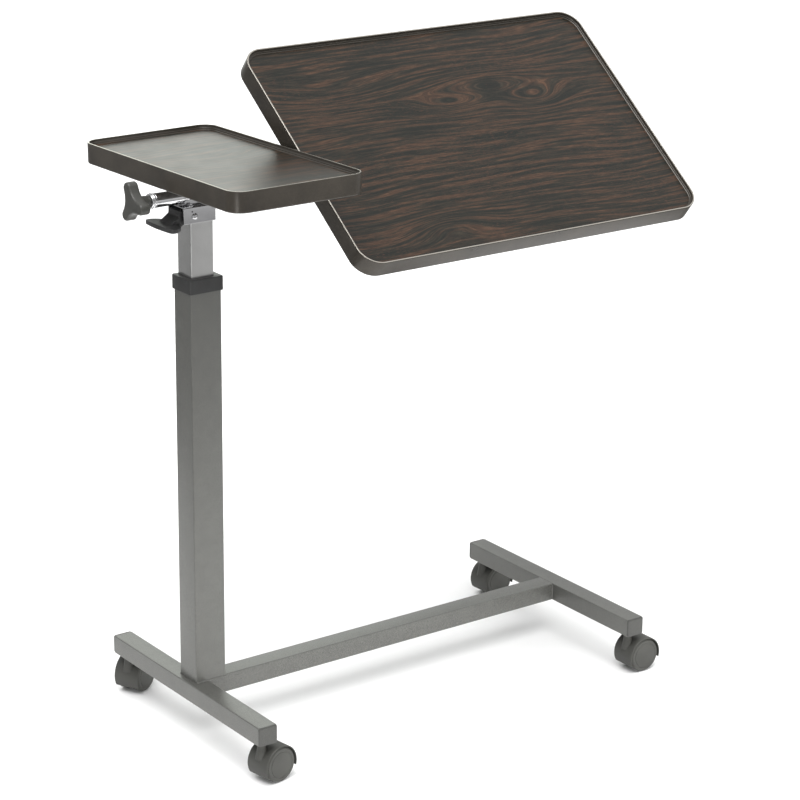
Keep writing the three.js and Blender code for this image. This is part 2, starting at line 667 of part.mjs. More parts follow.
// ---- casters ------------------------------------------------------------
// Caster frame: axle along Y through the origin, stem axis TRAIL towards -X.
const SWIVEL_AT_REST = { left_front: 9, right_front: 0, left_rear: 28, right_rear: 2 };
const STEM_TOP = FOOT_TOP - FOOT_WALL - 3 - WHEEL_RADIUS;
const BOSS_TOP = FOOT_BOTTOM - CLEAR - SOCKET_FLANGE_HEIGHT - 1.4 - WHEEL_RADIUS;
const AXLE_HALF = 15.4;

const axleCylinder = (radius, y0, y1, segments = 20) =>
  new THREE.CylinderGeometry(radius, radius, y1 - y0, segments).translate(0, (y0 + y1) / 2, 0);

function hood() {
  const half = WHEEL_OUTER + 0.2;
  const web = WHEEL_INNER - CLEAR;
  const barrel = axleCylinder(HOOD_RADIUS, -half, half, 32);
  const boss = new THREE.CylinderGeometry(BOSS_RADIUS, BOSS_RADIUS, BOSS_TOP - 12, 20).rotateX(Math.PI / 2);
  boss.translate(-TRAIL, 0, (BOSS_TOP + 12) / 2);
  const pockets = [[web, half + 1], [-half - 1, -web]].map(([y0, y1]) =>
    axleCylinder(HOOD_RADIUS - HOOD_WALL, y0, y1, 32));
  const open = new THREE.Shape();
  const reach = 80;
  const [from, to] = HOOD_OPENING.map(THREE.MathUtils.degToRad);
  open.moveTo(0, 0);
  open.lineTo(reach * Math.cos(from), reach * Math.sin(from));
  open.lineTo(0, -reach);
  open.lineTo(reach * Math.cos(to), reach * Math.sin(to));
  open.closePath();
  const sector = slab(open, 2 * half + 2).rotateX(Math.PI / 2).translate(0, half + 1, 0);
  const hub = axleCylinder(HOOD_HUB, -web, web, 20);
  const axleHole = axleCylinder(AXLE_RADIUS + CLEAR, -half, half, 16);
  const stemBore = STEM_RADIUS + CLEAR;
  const stemHole = new THREE.CylinderGeometry(stemBore, stemBore, 60, 16).rotateX(Math.PI / 2);
  stemHole.translate(-TRAIL, 0, 27);
  const shell = toSolid(barrel).add(toSolid(boss));
  let solid = shell.subtract(toSolid(pockets[0])).subtract(toSolid(pockets[1]));
  solid = solid.subtract(toSolid(sector)).add(toSolid(hub));
  return toGeometry(solid.subtract(toSolid(axleHole)).subtract(toSolid(stemHole)));
}

function stem() {
  const flange = BOSS_TOP + 0.1;
  const profile = [
    [0, -2.5], [STEM_RADIUS, -2.5], [STEM_RADIUS, flange], [5.6, flange], [5.6, flange + 1],
    [STEM_RADIUS + 0.1, flange + 1], [STEM_RADIUS + 0.1, STEM_TOP - 2], [STEM_RADIUS - 0.8, STEM_TOP],
    [0, STEM_TOP],
  ];
  return turned(profile, 16).translate(-TRAIL, 0, 0);
}

function wheel() {
  const profile = [
    [0, AXLE_HALF + 0.4], [AXLE_RADIUS + CLEAR, AXLE_HALF + 0.4], [AXLE_RADIUS + CLEAR, WHEEL_INNER],
    [24, WHEEL_INNER], [WHEEL_RADIUS, WHEEL_INNER + 2],
    [WHEEL_RADIUS, WHEEL_OUTER - 2.6], [24.6, WHEEL_OUTER - 0.8], [20, WHEEL_OUTER - 0.2],
    [0, WHEEL_OUTER],
  ];
  return turned(profile, 28).rotateX(-Math.PI / 2);
}

function buildCaster(name, x, y, swivel) {
  const caster = new THREE.Group();
  caster.position.set(x, y, WHEEL_RADIUS);
  caster.rotation.z = THREE.MathUtils.degToRad(swivel);
  table.add(caster);
  const trailing = new THREE.Group();
  trailing.position.x = TRAIL;
  caster.add(trailing);
  add(trailing, `caster_stem_${name}`, stem(), steel);
  add(trailing, `caster_hood_${name}`, hood(), casterPlastic);
  add(trailing, `caster_axle_${name}`, axleCylinder(AXLE_RADIUS, -AXLE_HALF, AXLE_HALF, 16), steel);
  add(trailing, `wheel_a_${name}`, wheel(), casterPlastic);
  add(trailing, `wheel_b_${name}`, wheel(), casterPlastic).rotation.z = Math.PI;
}

function buildCasters() {
  for (const [sideName, x] of SIDES) {
    for (const [endName, side] of ENDS) {
      const name = `${sideName}_${endName}`;
      buildCaster(name, x, side * STEM_Y, SWIVEL_AT_REST[name]);
    }
  }
}

buildBase();
buildMast();
buildHead();
buildLever();
buildTiltingTop();
buildCasters();

// The origin is the middle of the whole table's box, on the floor.
table.updateMatrixWorld(true);
const whole = new THREE.Box3().setFromObject(table, true);
const centre = whole.getCenter(new THREE.Vector3());
table.position.set(-centre.x, -centre.y, -whole.min.z);

export default table;
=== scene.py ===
import json
import math
import random

import bmesh
import bpy
from mathutils import Matrix, Vector

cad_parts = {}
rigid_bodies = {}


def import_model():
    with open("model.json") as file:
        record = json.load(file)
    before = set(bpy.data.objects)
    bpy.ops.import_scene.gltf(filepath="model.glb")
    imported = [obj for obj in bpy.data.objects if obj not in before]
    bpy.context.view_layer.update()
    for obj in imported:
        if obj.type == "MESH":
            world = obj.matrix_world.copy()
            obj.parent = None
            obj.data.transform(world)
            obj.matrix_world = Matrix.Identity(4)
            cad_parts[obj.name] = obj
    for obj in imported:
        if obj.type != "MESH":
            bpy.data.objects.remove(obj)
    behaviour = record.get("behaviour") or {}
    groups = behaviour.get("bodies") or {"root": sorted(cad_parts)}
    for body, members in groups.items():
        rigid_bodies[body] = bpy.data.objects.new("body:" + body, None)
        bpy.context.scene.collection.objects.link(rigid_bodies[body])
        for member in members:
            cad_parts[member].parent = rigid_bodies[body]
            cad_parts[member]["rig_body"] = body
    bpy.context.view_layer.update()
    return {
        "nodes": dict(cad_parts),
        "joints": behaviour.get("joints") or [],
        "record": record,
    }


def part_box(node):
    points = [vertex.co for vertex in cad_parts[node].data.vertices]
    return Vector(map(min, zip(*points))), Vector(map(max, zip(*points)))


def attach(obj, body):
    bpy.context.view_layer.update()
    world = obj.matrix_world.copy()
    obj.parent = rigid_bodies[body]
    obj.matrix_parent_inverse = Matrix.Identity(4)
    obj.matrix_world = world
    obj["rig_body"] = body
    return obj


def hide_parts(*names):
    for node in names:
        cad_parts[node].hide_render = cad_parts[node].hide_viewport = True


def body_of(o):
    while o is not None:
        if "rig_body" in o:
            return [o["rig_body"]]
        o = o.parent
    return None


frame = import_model()

MM = 0.001
SIDES = ("left", "right")
ENDS = ("front", "rear")


# ---- places and directions from the frame -------------------------------
def middle(node):
    low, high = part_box(node)
    return (low + high) / 2


def joint(name):
    return next(j for j in frame["joints"] if j["name"] == name)


def mount(name):
    return next(m for m in frame["record"]["mounts"] if m["name"] == name)


tilt_axis = Vector(joint("top_tilt")["pos_m"])


def lean(surface):
    """Angle of a top about the tilt axis, rear edge up."""
    normal = Vector(mount(surface)["axis"])
    return math.atan2(-normal.y, normal.z)


LEAN = {name: lean(f"{name}_top_surface") for name in ("small", "large")}
POSE = {name: Matrix.Translation((0, tilt_axis.y, tilt_axis.z)) @ Matrix.Rotation(angle, 4, "X")
        for name, angle in LEAN.items()}


# ---- outlines and profiles ----------------------------------------------
def rounded(points, steps=5, closed=False):
    """Polyline through (a, b) or (a, b, radius) points, with an arc at each radius."""
    count = len(points)
    line = []
    for i, point in enumerate(points):
        here = Vector(point[:2])
        radius = point[2] if len(point) > 2 else 0
        if not radius or (not closed and i in (0, count - 1)):
            line.append(here)
            continue
        before = (Vector(points[i - 1][:2]) - here).normalized()
        after = (Vector(points[(i + 1) % count][:2]) - here).normalized()
        half = before.angle(after) / 2
        centre = here + (before + after).normalized() * (radius / math.sin(half))
        start = here + before * (radius / math.tan(half)) - centre
        end = here + after * (radius / math.tan(half)) - centre
        sweep = start.angle_signed(end)
        for step in range(steps + 1):
            turn = Matrix.Rotation(-sweep * step / steps, 2)
            line.append(centre + turn @ start)
    return line


def rounded_rectangle(width, depth, radius, steps=6):
    w, d = width / 2, depth / 2
    corners = [(w, -d), (w, d), (-w, d), (-w, -d)]
    line = []
    for index, (x, y) in enumerate(corners):
        cx, cy = x - math.copysign(radius, x), y - math.copysign(radius, y)
        for step in range(steps + 1):
            angle = math.pi / 2 * (index - 1 + step / steps)
            line.append(Vector((cx + radius * math.cos(angle), cy + radius * math.sin(angle))))
    return line


def offset_inwards(outline, distance):
    """Moves each point of a counter-clockwise outline inwards along its normal."""
    moved = []
    for i, point in enumerate(outline):
        along = (outline[(i + 1) % len(outline)] - outline[i - 1]).normalized()
        moved.append(point + Vector((-along.y, along.x)) * distance)
    return moved


# ---- meshes -------------------------------------------------------------
def new_object(name, data):
    made = bpy.data.objects.new(name, data)
    bpy.context.scene.collection.objects.link(made)
    return made


def make_object(name, points, faces, sharp_angle=35):
    mesh = bpy.data.meshes.new(name)
    mesh.from_pydata([tuple(p) for p in points], [], faces)
    return tidy_mesh(name, mesh, sharp_angle)


def tidy_mesh(name, mesh, sharp_angle=35):
    """Welds, points the faces outwards and keeps edges sharp past an angle in degrees."""
    work = bmesh.new()
    work.from_mesh(mesh)
    bmesh.ops.remove_doubles(work, verts=work.verts, dist=1e-6)
    bmesh.ops.recalc_face_normals(work, faces=work.faces)
    for face in work.faces:
        face.smooth = True
    for edge in work.edges:
        edge.smooth = edge.calc_face_angle(0) < math.radians(sharp_angle)
    work.to_mesh(mesh)
    work.free()
    return new_object(name, mesh)


def bridge(rings, closed=False, capped=False):
    """Points and faces of rings of equal count joined one to the next."""
    count = len(rings[0])
    points = [point for ring in rings for point in ring]
    faces = []
    spans = len(rings) if closed else len(rings) - 1
    for row in range(spans):
        for column in range(count):
            here, there = row * count, (row + 1) % len(rings) * count
            beside = (column + 1) % count
            faces.append((here + column, here + beside, there + beside, there + column))
    if capped:
        faces.append(tuple(range(count)))
        faces.append(tuple(range((len(rings) - 1) * count, len(rings) * count)))
    return points, faces


def lathe(name, profile, placing, segments=72, closed=False, sharp_angle=35):
    """Revolves (radius, height) pairs about the Z axis of `placing`."""
    rings = []
    for radius, height in profile:
        ring = []
        for step in range(segments):
            angle = 2 * math.pi * step / segments
            local = Vector((radius * math.cos(angle), radius * math.sin(angle), height))
            ring.append(placing @ local)
        rings.append(ring)
    return make_object(name, *bridge(rings, closed=closed), sharp_angle=sharp_angle)


def rod(name, radius, low, high, placing, segments):
    return lathe(name, [(0, low), (radius, low), (radius, high), (0, high)], placing, segments)


def layers(name, outlines, placing, closed=False, capped=True, sharp_angle=35):
    """Joins (outline, height) layers stacked along the Z axis of `placing`."""
    rings = [[placing @ Vector((p.x, p.y, height)) for p in outline] for outline, height in outlines]
    return make_object(name, *bridge(rings, closed=closed, capped=capped), sharp_angle=sharp_angle)


def filleted_plate(name, outline, low, high, fillet, placing, steps=4):
    """A plate between two heights with all its edges rounded."""
    stack = []
    for step in range(steps + 1):
        angle = math.pi / 2 * step / steps
        inset = fillet * (1 - math.sin(angle))
        stack.append((offset_inwards(outline, inset), low + fillet * (1 - math.cos(angle))))
    for inset_outline, height in reversed(stack[:]):
        stack.append((inset_outline, high - (height - low)))
    return layers(name, stack, placing)


def rectangular_tube(name, width, depth, corner, wall, length, placing):
    """An open tube along the Z axis of `placing`, from height 0, with eased ends."""
    ease = 0.3 * MM
    bore = max(corner - wall, 0.5 * MM)
    outside = rounded_rectangle(width, depth, corner)
    shoulder = rounded_rectangle(width - 2 * ease, depth - 2 * ease, corner - ease)
    inside = rounded_rectangle(width - 2 * wall, depth - 2 * wall, bore)
    stack = [
        (inside, 0), (shoulder, 0), (outside, ease), (outside, length - ease),
        (shoulder, length), (inside, length),
    ]
    return layers(name, stack, placing, closed=True, capped=False)


def cut(target, *cutters):
    """Subtracts each cutter from the target, and removes the cutters."""
    for cutter in cutters:
        modifier = target.modifiers.new("cut", "BOOLEAN")
        modifier.operation = "DIFFERENCE"
        modifier.solver = "EXACT"
        modifier.object = cutter
    return apply_modifiers(target, cutters)


def join(target, *others):
    for other in others:
        modifier = target.modifiers.new("join", "BOOLEAN")
        modifier.operation = "UNION"
        modifier.solver = "EXACT"
        modifier.object = other
    return apply_modifiers(target, others)


def apply_modifiers(target, spent=(), sharp_angle=35):
    graph = bpy.context.evaluated_depsgraph_get()
    mesh = bpy.data.meshes.new_from_object(target.evaluated_get(graph))
    name = target.name
    for used in (target, *spent):
        bpy.data.objects.remove(used)
    return tidy_mesh(name, mesh, sharp_angle)


def softened(node, width, segments=3, angle=25):
    """A copy of a CAD node with its flat faces merged and its edges rounded."""
    mesh = frame["nodes"][node].data.copy()
    work = bmesh.new()
    work.from_mesh(mesh)
    bmesh.ops.remove_doubles(work, verts=work.verts, dist=1e-6)
    bmesh.ops.dissolve_limit(
        work, angle_limit=math.radians(1), verts=work.verts, edges=work.edges)
    edges = [e for e in work.edges if e.calc_face_angle(0) > math.radians(angle)]
    bmesh.ops.bevel(
        work, geom=edges, offset=width, offset_type="OFFSET", segments=segments,
        profile=0.5, affect="EDGES", clamp_overlap=True)
    work.to_mesh(mesh)
    work.free()
    return tidy_mesh(f"{node}_fine", mesh)


def moulded(node, voxel, passes):
    """A copy of a CAD node remeshed and relaxed, as a part with rounded moulded edges."""
    piece = new_object(f"{node}_fine", frame["nodes"][node].data.copy())
    piece.data.materials.clear()
    weld = piece.modifiers.new("weld", "WELD")
    weld.merge_threshold = 1e-6
    remesh = piece.modifiers.new("remesh", "REMESH")
    remesh.mode = "VOXEL"
    remesh.voxel_size = voxel
    relax = piece.modifiers.new("relax", "SMOOTH")
    relax.factor = 0.5
    relax.iterations = passes
    return apply_modifiers(piece, sharp_angle=180)


def dress(piece, node, material, replaced=True):
    """Gives a piece its finish and rides it on the body of the CAD node it belongs to."""
    piece.data.materials.clear()
    piece.data.materials.append(material)
    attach(piece, body_of(frame["nodes"][node])[0])
    if replaced:
        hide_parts(node)


# ---- material recipes ---------------------------------------------------
class Recipe:
    """A material with a Principled shader, and short calls that add its texture nodes."""

    def __init__(self, name, roughness, metallic=0.0, **sockets):
        self.material = bpy.data.materials.new(name)
        self.material.use_nodes = True
        self.tree = self.material.node_tree
        self.tree.nodes.clear()
        output = self.tree.nodes.new("ShaderNodeOutputMaterial")
        self.shader = self.tree.nodes.new("ShaderNodeBsdfPrincipled")
        self.tree.links.new(self.shader.outputs[0], output.inputs["Surface"])
        self.shader.inputs["Roughness"].default_value = roughness
        self.shader.inputs["Metallic"].default_value = metallic
        for socket, value in sockets.items():
            self.shader.inputs[socket.replace("_", " ")].default_value = value

    def node(self, kind, inputs=(), **settings):
        made = self.tree.nodes.new(f"ShaderNode{kind}")
        for setting, value in settings.items():
            setattr(made, setting, value)
        for socket, value in dict(inputs).items():
            if isinstance(value, bpy.types.NodeSocket):
                self.tree.links.new(value, made.inputs[socket])
            else:
                made.inputs[socket].default_value = value
        return made

    def place(self, stretch=(1, 1, 1), turn=0.0, origin=(0, 0, 0)):
        """Object coordinates turned back about X by `turn` about `origin`, then stretched."""
        where = self.node("TexCoord").outputs["Object"]
        moved = self.node("VectorMath", {0: where, 1: origin}, operation="SUBTRACT").outputs[0]
        turned = self.node("VectorRotate", {"Vector": moved, "Angle": -turn}, rotation_type="X_AXIS")
        return self.node(
            "VectorMath", {0: turned.outputs[0], 1: stretch}, operation="MULTIPLY").outputs[0]

    def noise(self, where, scale, detail=3.0, roughness=0.5, distortion=0.0):
        made = self.node("TexNoise", {
            "Vector": where, "Scale": scale, "Detail": detail,
            "Roughness": roughness, "Distortion": distortion})
        return made.outputs["Fac"]

    def math(self, operation, a, b=0.0, c=0.0):
        return self.node("Math", {0: a, 1: b, 2: c}, operation=operation).outputs[0]

    def ramp(self, value, *stops):
        """Colours or greys at positions along a value."""
        made = self.node("ValToRGB", {"Fac": value})
        elements = made.color_ramp.elements
        while len(elements) < len(stops):
            elements.new(0.5)
        for element, (position, colour) in zip(elements, stops):
            element.position = position
            tone = (colour,) * 3 if isinstance(colour, (int, float)) else colour
            element.color = (*tone, 1)
        return made.outputs["Color"]

    def mix(self, factor, a, b, blend="MIX"):
        made = self.node("Mix", data_type="RGBA", blend_type=blend)
        for identifier, value in (("Factor_Float", factor), ("A_Color", a), ("B_Color", b)):
            socket = next(s for s in made.inputs if s.identifier == identifier)
            if isinstance(value, bpy.types.NodeSocket):
                self.tree.links.new(value, socket)
            elif identifier == "Factor_Float":
                socket.default_value = value
            else:
                socket.default_value = (*value, 1)
        return next(s for s in made.outputs if s.identifier == "Result_Color")

    def span(self, value, low, high):
        """Spreads a 0 to 1 value between two numbers."""
        return self.node("MapRange", {"Value": value, "To Min": low, "To Max": high}).outputs[0]

    def colour(self, value):
        self.tree.links.new(value, self.shader.inputs["Base Color"])

    def roughness(self, value):
        self.tree.links.new(value, self.shader.inputs["Roughness"])

    def bump(self, height, distance, strength=1.0):
        """Adds a relief of `distance` metres, on top of any put in before it."""
        before = self.shader.inputs["Normal"]
        inputs = {"Height": height, "Distance": distance, "Strength": strength}
        if before.is_linked:
            inputs["Normal"] = before.links[0].from_socket
        made = self.node("Bump", inputs)
        self.tree.links.new(made.outputs[0], before)


def powder_coat(name, dark, light):
    """Silver-vein powder coat: a fine light and dark mottle over shallow orange peel."""
    recipe = Recipe(name, 0.38, metallic=0.3, Specular_IOR_Level=0.9)
    where = recipe.place()
    veins = recipe.noise(where, 1500, detail=4, roughness=0.7, distortion=0.4)
    patches = recipe.noise(where, 60, detail=3)
    between = tuple((d + l) / 2 for d, l in zip(dark, light))
    mottle = recipe.ramp(veins, (0.36, dark), (0.5, between), (0.66, light))
    shade = recipe.ramp(patches, (0.3, 0.90), (0.7, 1.0))
    recipe.colour(recipe.mix(1.0, mottle, shade, "MULTIPLY"))
    recipe.roughness(recipe.span(veins, 0.30, 0.46))
    recipe.bump(veins, 0.00003, 0.5)
    recipe.bump(recipe.noise(where, 400, detail=1), 0.00004, 0.4)
    return recipe.material


def bright_metal(name, colour, roughness, drawn=(1, 1, 1), wear=0.06):
    """Plated metal with faint drawing marks along one axis and hazy patches."""
    recipe = Recipe(name, roughness, metallic=1.0)
    streaks = recipe.noise(recipe.place(drawn), 1.0, detail=4, roughness=0.6)
    haze = recipe.noise(recipe.place(), 34, detail=4, roughness=0.6)
    dull = tuple(c * 0.9 for c in colour)
    recipe.colour(recipe.mix(recipe.ramp(haze, (0.35, 0.0), (0.7, 1.0)), colour, dull))
    recipe.roughness(recipe.math(
        "ADD", recipe.span(streaks, roughness - wear / 3, roughness + wear / 3),
        recipe.math("MULTIPLY", haze, wear)))
    recipe.bump(streaks, 0.00001, 0.5)
    return recipe.material


def moulded_plastic(name, colour, roughness, grain=1400, relief=0.00003):
    """Satin moulded plastic: fine spark-eroded texture, soft tone and gloss changes."""
    recipe = Recipe(name, roughness, Specular_IOR_Level=0.45)
    where = recipe.place()
    cloud = recipe.noise(where, 45, detail=3)
    texture = recipe.noise(where, grain, detail=2)
    pale = tuple(c * 1.16 for c in colour)
    deep = tuple(c * 0.88 for c in colour)
    recipe.colour(recipe.ramp(cloud, (0.3, deep), (0.7, pale)))
    recipe.roughness(recipe.span(recipe.noise(where, 90, detail=3), roughness - 0.06, roughness + 0.08))
    recipe.bump(texture, relief, 0.6)
    return recipe.material


def edge_moulding(name):
    """Dark bronze-brown extruded edge with a faint lengthwise draw and rubbed patches."""
    recipe = Recipe(name, 0.30, metallic=0.25, Specular_IOR_Level=0.5)
    where = recipe.place()
    rubbed = recipe.noise(where, 22, detail=4, roughness=0.6)
    speckle = recipe.noise(where, 1100, detail=2)
    base = recipe.ramp(rubbed, (0.3, (0.036, 0.031, 0.025)), (0.7, (0.056, 0.048, 0.038)))
    recipe.colour(recipe.mix(0.25, base, recipe.ramp(speckle, (0.35, 0.3), (0.65, 0.9)), "OVERLAY"))
    recipe.roughness(recipe.span(rubbed, 0.24, 0.36))
    recipe.bump(speckle, 0.00002, 0.5)
    return recipe.material


def eye(recipe, u, v, at, size, height):
    """A smooth mound in the grain's height field; its level lines close round an eye."""
    du = recipe.math("DIVIDE", recipe.math("SUBTRACT", u, at[0]), size[0])
    dv = recipe.math("DIVIDE", recipe.math("SUBTRACT", v, at[1]), size[1])
    squared = recipe.math("ADD", recipe.math("MULTIPLY", du, du), recipe.math("MULTIPLY", dv, dv))
    falling = recipe.math("EXPONENT", recipe.math("MULTIPLY", squared, -1.0))
    return recipe.math("MULTIPLY", falling, height)


def laminate(name, turn, eyes, relief=0.00002):
    """Dark walnut-pattern laminate, its grain along X: level lines of a gently warped field."""
    recipe = Recipe(name, 0.34, Specular_IOR_Level=0.32)

    def spread(along, across):
        return recipe.place((along, across, 1), turn, tilt_axis)

    where = spread(1, 1)
    parts = recipe.node("SeparateXYZ", {0: where})
    u, v = parts.outputs["X"], parts.outputs["Y"]
    drift = recipe.noise(spread(2.4, 5), 1.0, detail=1)
    ripple = recipe.noise(spread(12, 60), 1.0)
    field = recipe.math("ADD", v, recipe.math("MULTIPLY", drift, 0.05))
    field = recipe.math("ADD", field, recipe.math("MULTIPLY", ripple, 0.0035))
    for at, size, height in eyes:
        field = recipe.math("ADD", field, eye(recipe, u, v, at, size, height))

    def grain(along, across, detail):
        where = recipe.node("CombineXYZ", {
            0: recipe.math("MULTIPLY", u, along), 1: recipe.math("MULTIPLY", field, across)})
        return recipe.noise(where.outputs[0], 1.0, detail=detail, roughness=0.6)

    char, umber, rust = (0.0045, 0.0056, 0.0034), (0.0165, 0.0130, 0.0080), (0.054, 0.0265, 0.0140)
    bands = grain(7, 170, 5)
    threads = grain(45, 900, 3)
    tone = recipe.ramp(bands, (0.40, char), (0.50, umber), (0.60, rust), (0.72, umber))
    fine = recipe.ramp(threads, (0.36, 0.35), (0.52, 1.0), (0.66, 2.1))
    tone = recipe.mix(0.7, tone, fine, "MULTIPLY")
    marks = recipe.ramp(recipe.noise(spread(110, 1900), 1.0, detail=1), (0.62, 0.0), (0.70, 1.0))
    patchy = recipe.ramp(recipe.noise(spread(5, 12), 1.0), (0.40, 0.0), (0.6, 0.7))
    tone = recipe.mix(recipe.math("MULTIPLY", marks, patchy), tone, (0.105, 0.044, 0.026))
    pores = recipe.ramp(recipe.noise(spread(60, 1500), 1.0, detail=1), (0.28, 1.0), (0.36, 0.0))
    recipe.colour(recipe.mix(recipe.math("MULTIPLY", pores, 0.6), tone, char))
    recipe.roughness(recipe.span(recipe.noise(where, 30, detail=4), 0.30, 0.40))
    recipe.bump(threads, relief, 0.4)
    recipe.bump(recipe.noise(where, 700, detail=2), relief, 0.5)
    return recipe.material


def floor_paint():
    recipe = Recipe("floor_pale", 0.85)
    cloud = recipe.noise(recipe.place(), 1.5, detail=3)
    recipe.colour(recipe.ramp(cloud, (0.3, 0.90), (0.7, 0.93)))
    return recipe.material


POWDER = powder_coat("powder_coat", (0.045, 0.046, 0.041), (0.185, 0.185, 0.171))
CAP_COAT = powder_coat("cap_powder_coat", (0.031, 0.031, 0.028), (0.070, 0.070, 0.064))
BLACK = moulded_plastic("black_plastic", (0.030, 0.030, 0.030), 0.42)
KNOB = moulded_plastic("knob_plastic", (0.045, 0.045, 0.040), 0.36)
HOOD = moulded_plastic("caster_hood_plastic", (0.044, 0.044, 0.039), 0.55, grain=900, relief=0.00005)
WHEEL = moulded_plastic("wheel_plastic", (0.049, 0.049, 0.044), 0.58, grain=900, relief=0.00005)
GUIDE = moulded_plastic("guide_plastic", (0.70, 0.68, 0.62), 0.5)
CHROME = bright_metal("chrome_bright", (0.60, 0.60, 0.61), 0.10)
CHROME_TUBE = bright_metal(
    "chrome_drawn_upright", (0.66, 0.66, 0.65), 0.16, drawn=(700, 700, 5), wear=0.12)
CHROME_ROD = bright_metal("chrome_turned", (0.82, 0.82, 0.83), 0.09, drawn=(900, 40, 40))
STEEL = bright_metal("steel_zinc", (0.52, 0.52, 0.53), 0.34, wear=0.14)
MOULDING = edge_moulding("edge_moulding")
# Lighter metal for the moulding's thin crest: a painted highlight line, not the moulding's own colour
LIP = bright_metal("edge_lip_painted_highlight", (0.50, 0.47, 0.42), 0.24, wear=0.10)
BACKER = moulded_plastic("backing_sheet", (0.030, 0.026, 0.022), 0.55, grain=500)
LARGE_FIGURE = (
    # place along and across the board from its left end, spread along and across, height
    ((0.305, 0.062), (0.085, 0.020), 0.034),
    ((0.450, 0.050), (0.060, 0.026), 0.034),
    ((0.400, 0.095), (0.110, 0.024), -0.018),
    ((0.115, 0.110), (0.120, 0.030), 0.022),
    ((0.175, -0.150), (0.070, 0.022), -0.024),
)
SMALL_FIGURE = (((-0.10, 0.02), (0.08, 0.04), 0.03),)
LAMINATE_LARGE = laminate("laminate_large", LEAN["large"], LARGE_FIGURE)
LAMINATE_SMALL = laminate("laminate_small", LEAN["small"], SMALL_FIGURE)


# ---- base ---------------------------------------------------------------
CORNER = 1.5 * MM
TUBE_WALL = 1.6 * MM


def weld_bead(name, path, radius, node, seed):
    """A lumpy fillet of weld metal along a closed or open path."""
    scatter = random.Random(seed)
    points = []
    for start, end in zip(path, path[1:]):
        count = max(2, round((end - start).length / (0.9 * MM)))
        points += [start.lerp(end, step / count) for step in range(count)]
    points.append(path[-1])
    rings = []
    sides = 10
    for i, point in enumerate(points):
        along = (points[min(i + 1, len(points) - 1)] - points[max(i - 1, 0)]).normalized()
        side = along.orthogonal().normalized()
        other = along.cross(side)
        wave = 1 + 0.12 * math.sin(i * 1.9) + scatter.uniform(-0.06, 0.06)
        rings.append([
            point + radius * wave * (side * math.cos(a) + other * math.sin(a))
            for a in (2 * math.pi * k / sides for k in range(sides))])
    bead = make_object(name, *bridge(rings, capped=True), sharp_angle=180)
    dress(bead, node, POWDER, replaced=False)


def lying_tube(node, corner, along):
    """A rectangular tube along "X" or "Y" that fills the node's box."""
    low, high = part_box(node)
    size = high - low
    if along == "Y":
        turn = Matrix.Rotation(math.radians(-90), 4, "X")
        place = Matrix.Translation(((low.x + high.x) / 2, low.y, (low.z + high.z) / 2)) @ turn
        tube = rectangular_tube(f"{node}_fine", size.x, size.z, corner, TUBE_WALL, size.y, place)
    else:
        turn = Matrix.Rotation(math.radians(90), 4, "Y")
        place = Matrix.Translation((low.x, (low.y + high.y) / 2, (low.z + high.z) / 2)) @ turn
        tube = rectangular_tube(f"{node}_fine", size.z, size.y, corner, TUBE_WALL, size.x, place)
    dress(tube, node, POWDER)


def end_cap(node, outwards):
    """A pressed plate with a chamfered rim; its tongue stays inside the foot."""
    low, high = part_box(node)
    width, height = high.x - low.x, high.z - low.z
    face = high.y if outwards > 0 else low.y
    turn = Matrix.Rotation(math.radians(-90 * outwards), 4, "X")
    place = Matrix.Translation(((low.x + high.x) / 2, face, (low.z + high.z) / 2)) @ turn
    plate, rim, tongue = 2.5 * MM, 1.1 * MM, 1.9 * MM
    stack = [
        (rounded_rectangle(width - 2 * tongue, height - 2 * tongue, 1 * MM), -8 * MM),
        (rounded_rectangle(width - 2 * tongue, height - 2 * tongue, 1 * MM), -plate),
        (rounded_rectangle(width - 0.4 * MM, height - 0.4 * MM, 3 * MM), -plate),
        (rounded_rectangle(width, height, 3.2 * MM), -plate + 0.2 * MM),
        (rounded_rectangle(width, height, 3.2 * MM), -rim),
        (rounded_rectangle(width - 0.5 * MM, height - 0.5 * MM, 3 * MM), -rim * 0.5),
        (rounded_rectangle(width - 2.2 * rim, height - 2.2 * rim, 2.4 * MM), -0.06 * MM),
        (rounded_rectangle(width - 4 * rim, height - 4 * rim, 2 * MM), 0),
    ]
    dress(layers(f"{node}_fine", stack, place), node, CAP_COAT)


def stem_socket(node):
    place = Matrix.Translation((middle(node).x, middle(node).y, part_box(node)[0].z))
    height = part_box(node)[1].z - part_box(node)[0].z
    profile = rounded([
        (4.4 * MM, 0, 0.2 * MM), (8 * MM, 0, 0.5 * MM), (8 * MM, 1.3 * MM, 0.4 * MM), (6 * MM, 1.3 * MM),
        (6 * MM, height), (4.4 * MM, height)], closed=True, steps=3)
    dress(lathe(f"{node}_fine", profile, place, 48, closed=True), node, STEEL)


def build_base():
    for side in SIDES:
        lying_tube(f"foot_{side}", CORNER, "Y")
        for outwards, end in zip((-1, 1), ENDS):
            end_cap(f"end_cap_{side}_{end}", outwards)
            stem_socket(f"stem_socket_{side}_{end}")
    lying_tube("crossbar", CORNER, "X")
    low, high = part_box("crossbar")
    for side, x in zip(SIDES, (low.x, high.x)):
        inset = 0.7 * MM
        ys, zs = (low.y - inset * 0.3, high.y + inset * 0.3), (low.z + 2 * MM, high.z - 2 * MM)
        for end, y in zip(ENDS, ys):
            path = [Vector((x, y, zs[0])), Vector((x, y, zs[1]))]
            seed = len(end) + (side == "left")
            weld_bead(f"weld_crossbar_{side}_{end}", path, 1.5 * MM, "crossbar", seed)


# ---- mast ---------------------------------------------------------------
def upright_tube(node, corner, wall, material):
    low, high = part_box(node)
    place = Matrix.Translation(((low.x + high.x) / 2, (low.y + high.y) / 2, low.z))
    size = high - low
    tube = rectangular_tube(f"{node}_fine", size.x, size.y, corner, wall, size.z, place)
    dress(tube, node, material)


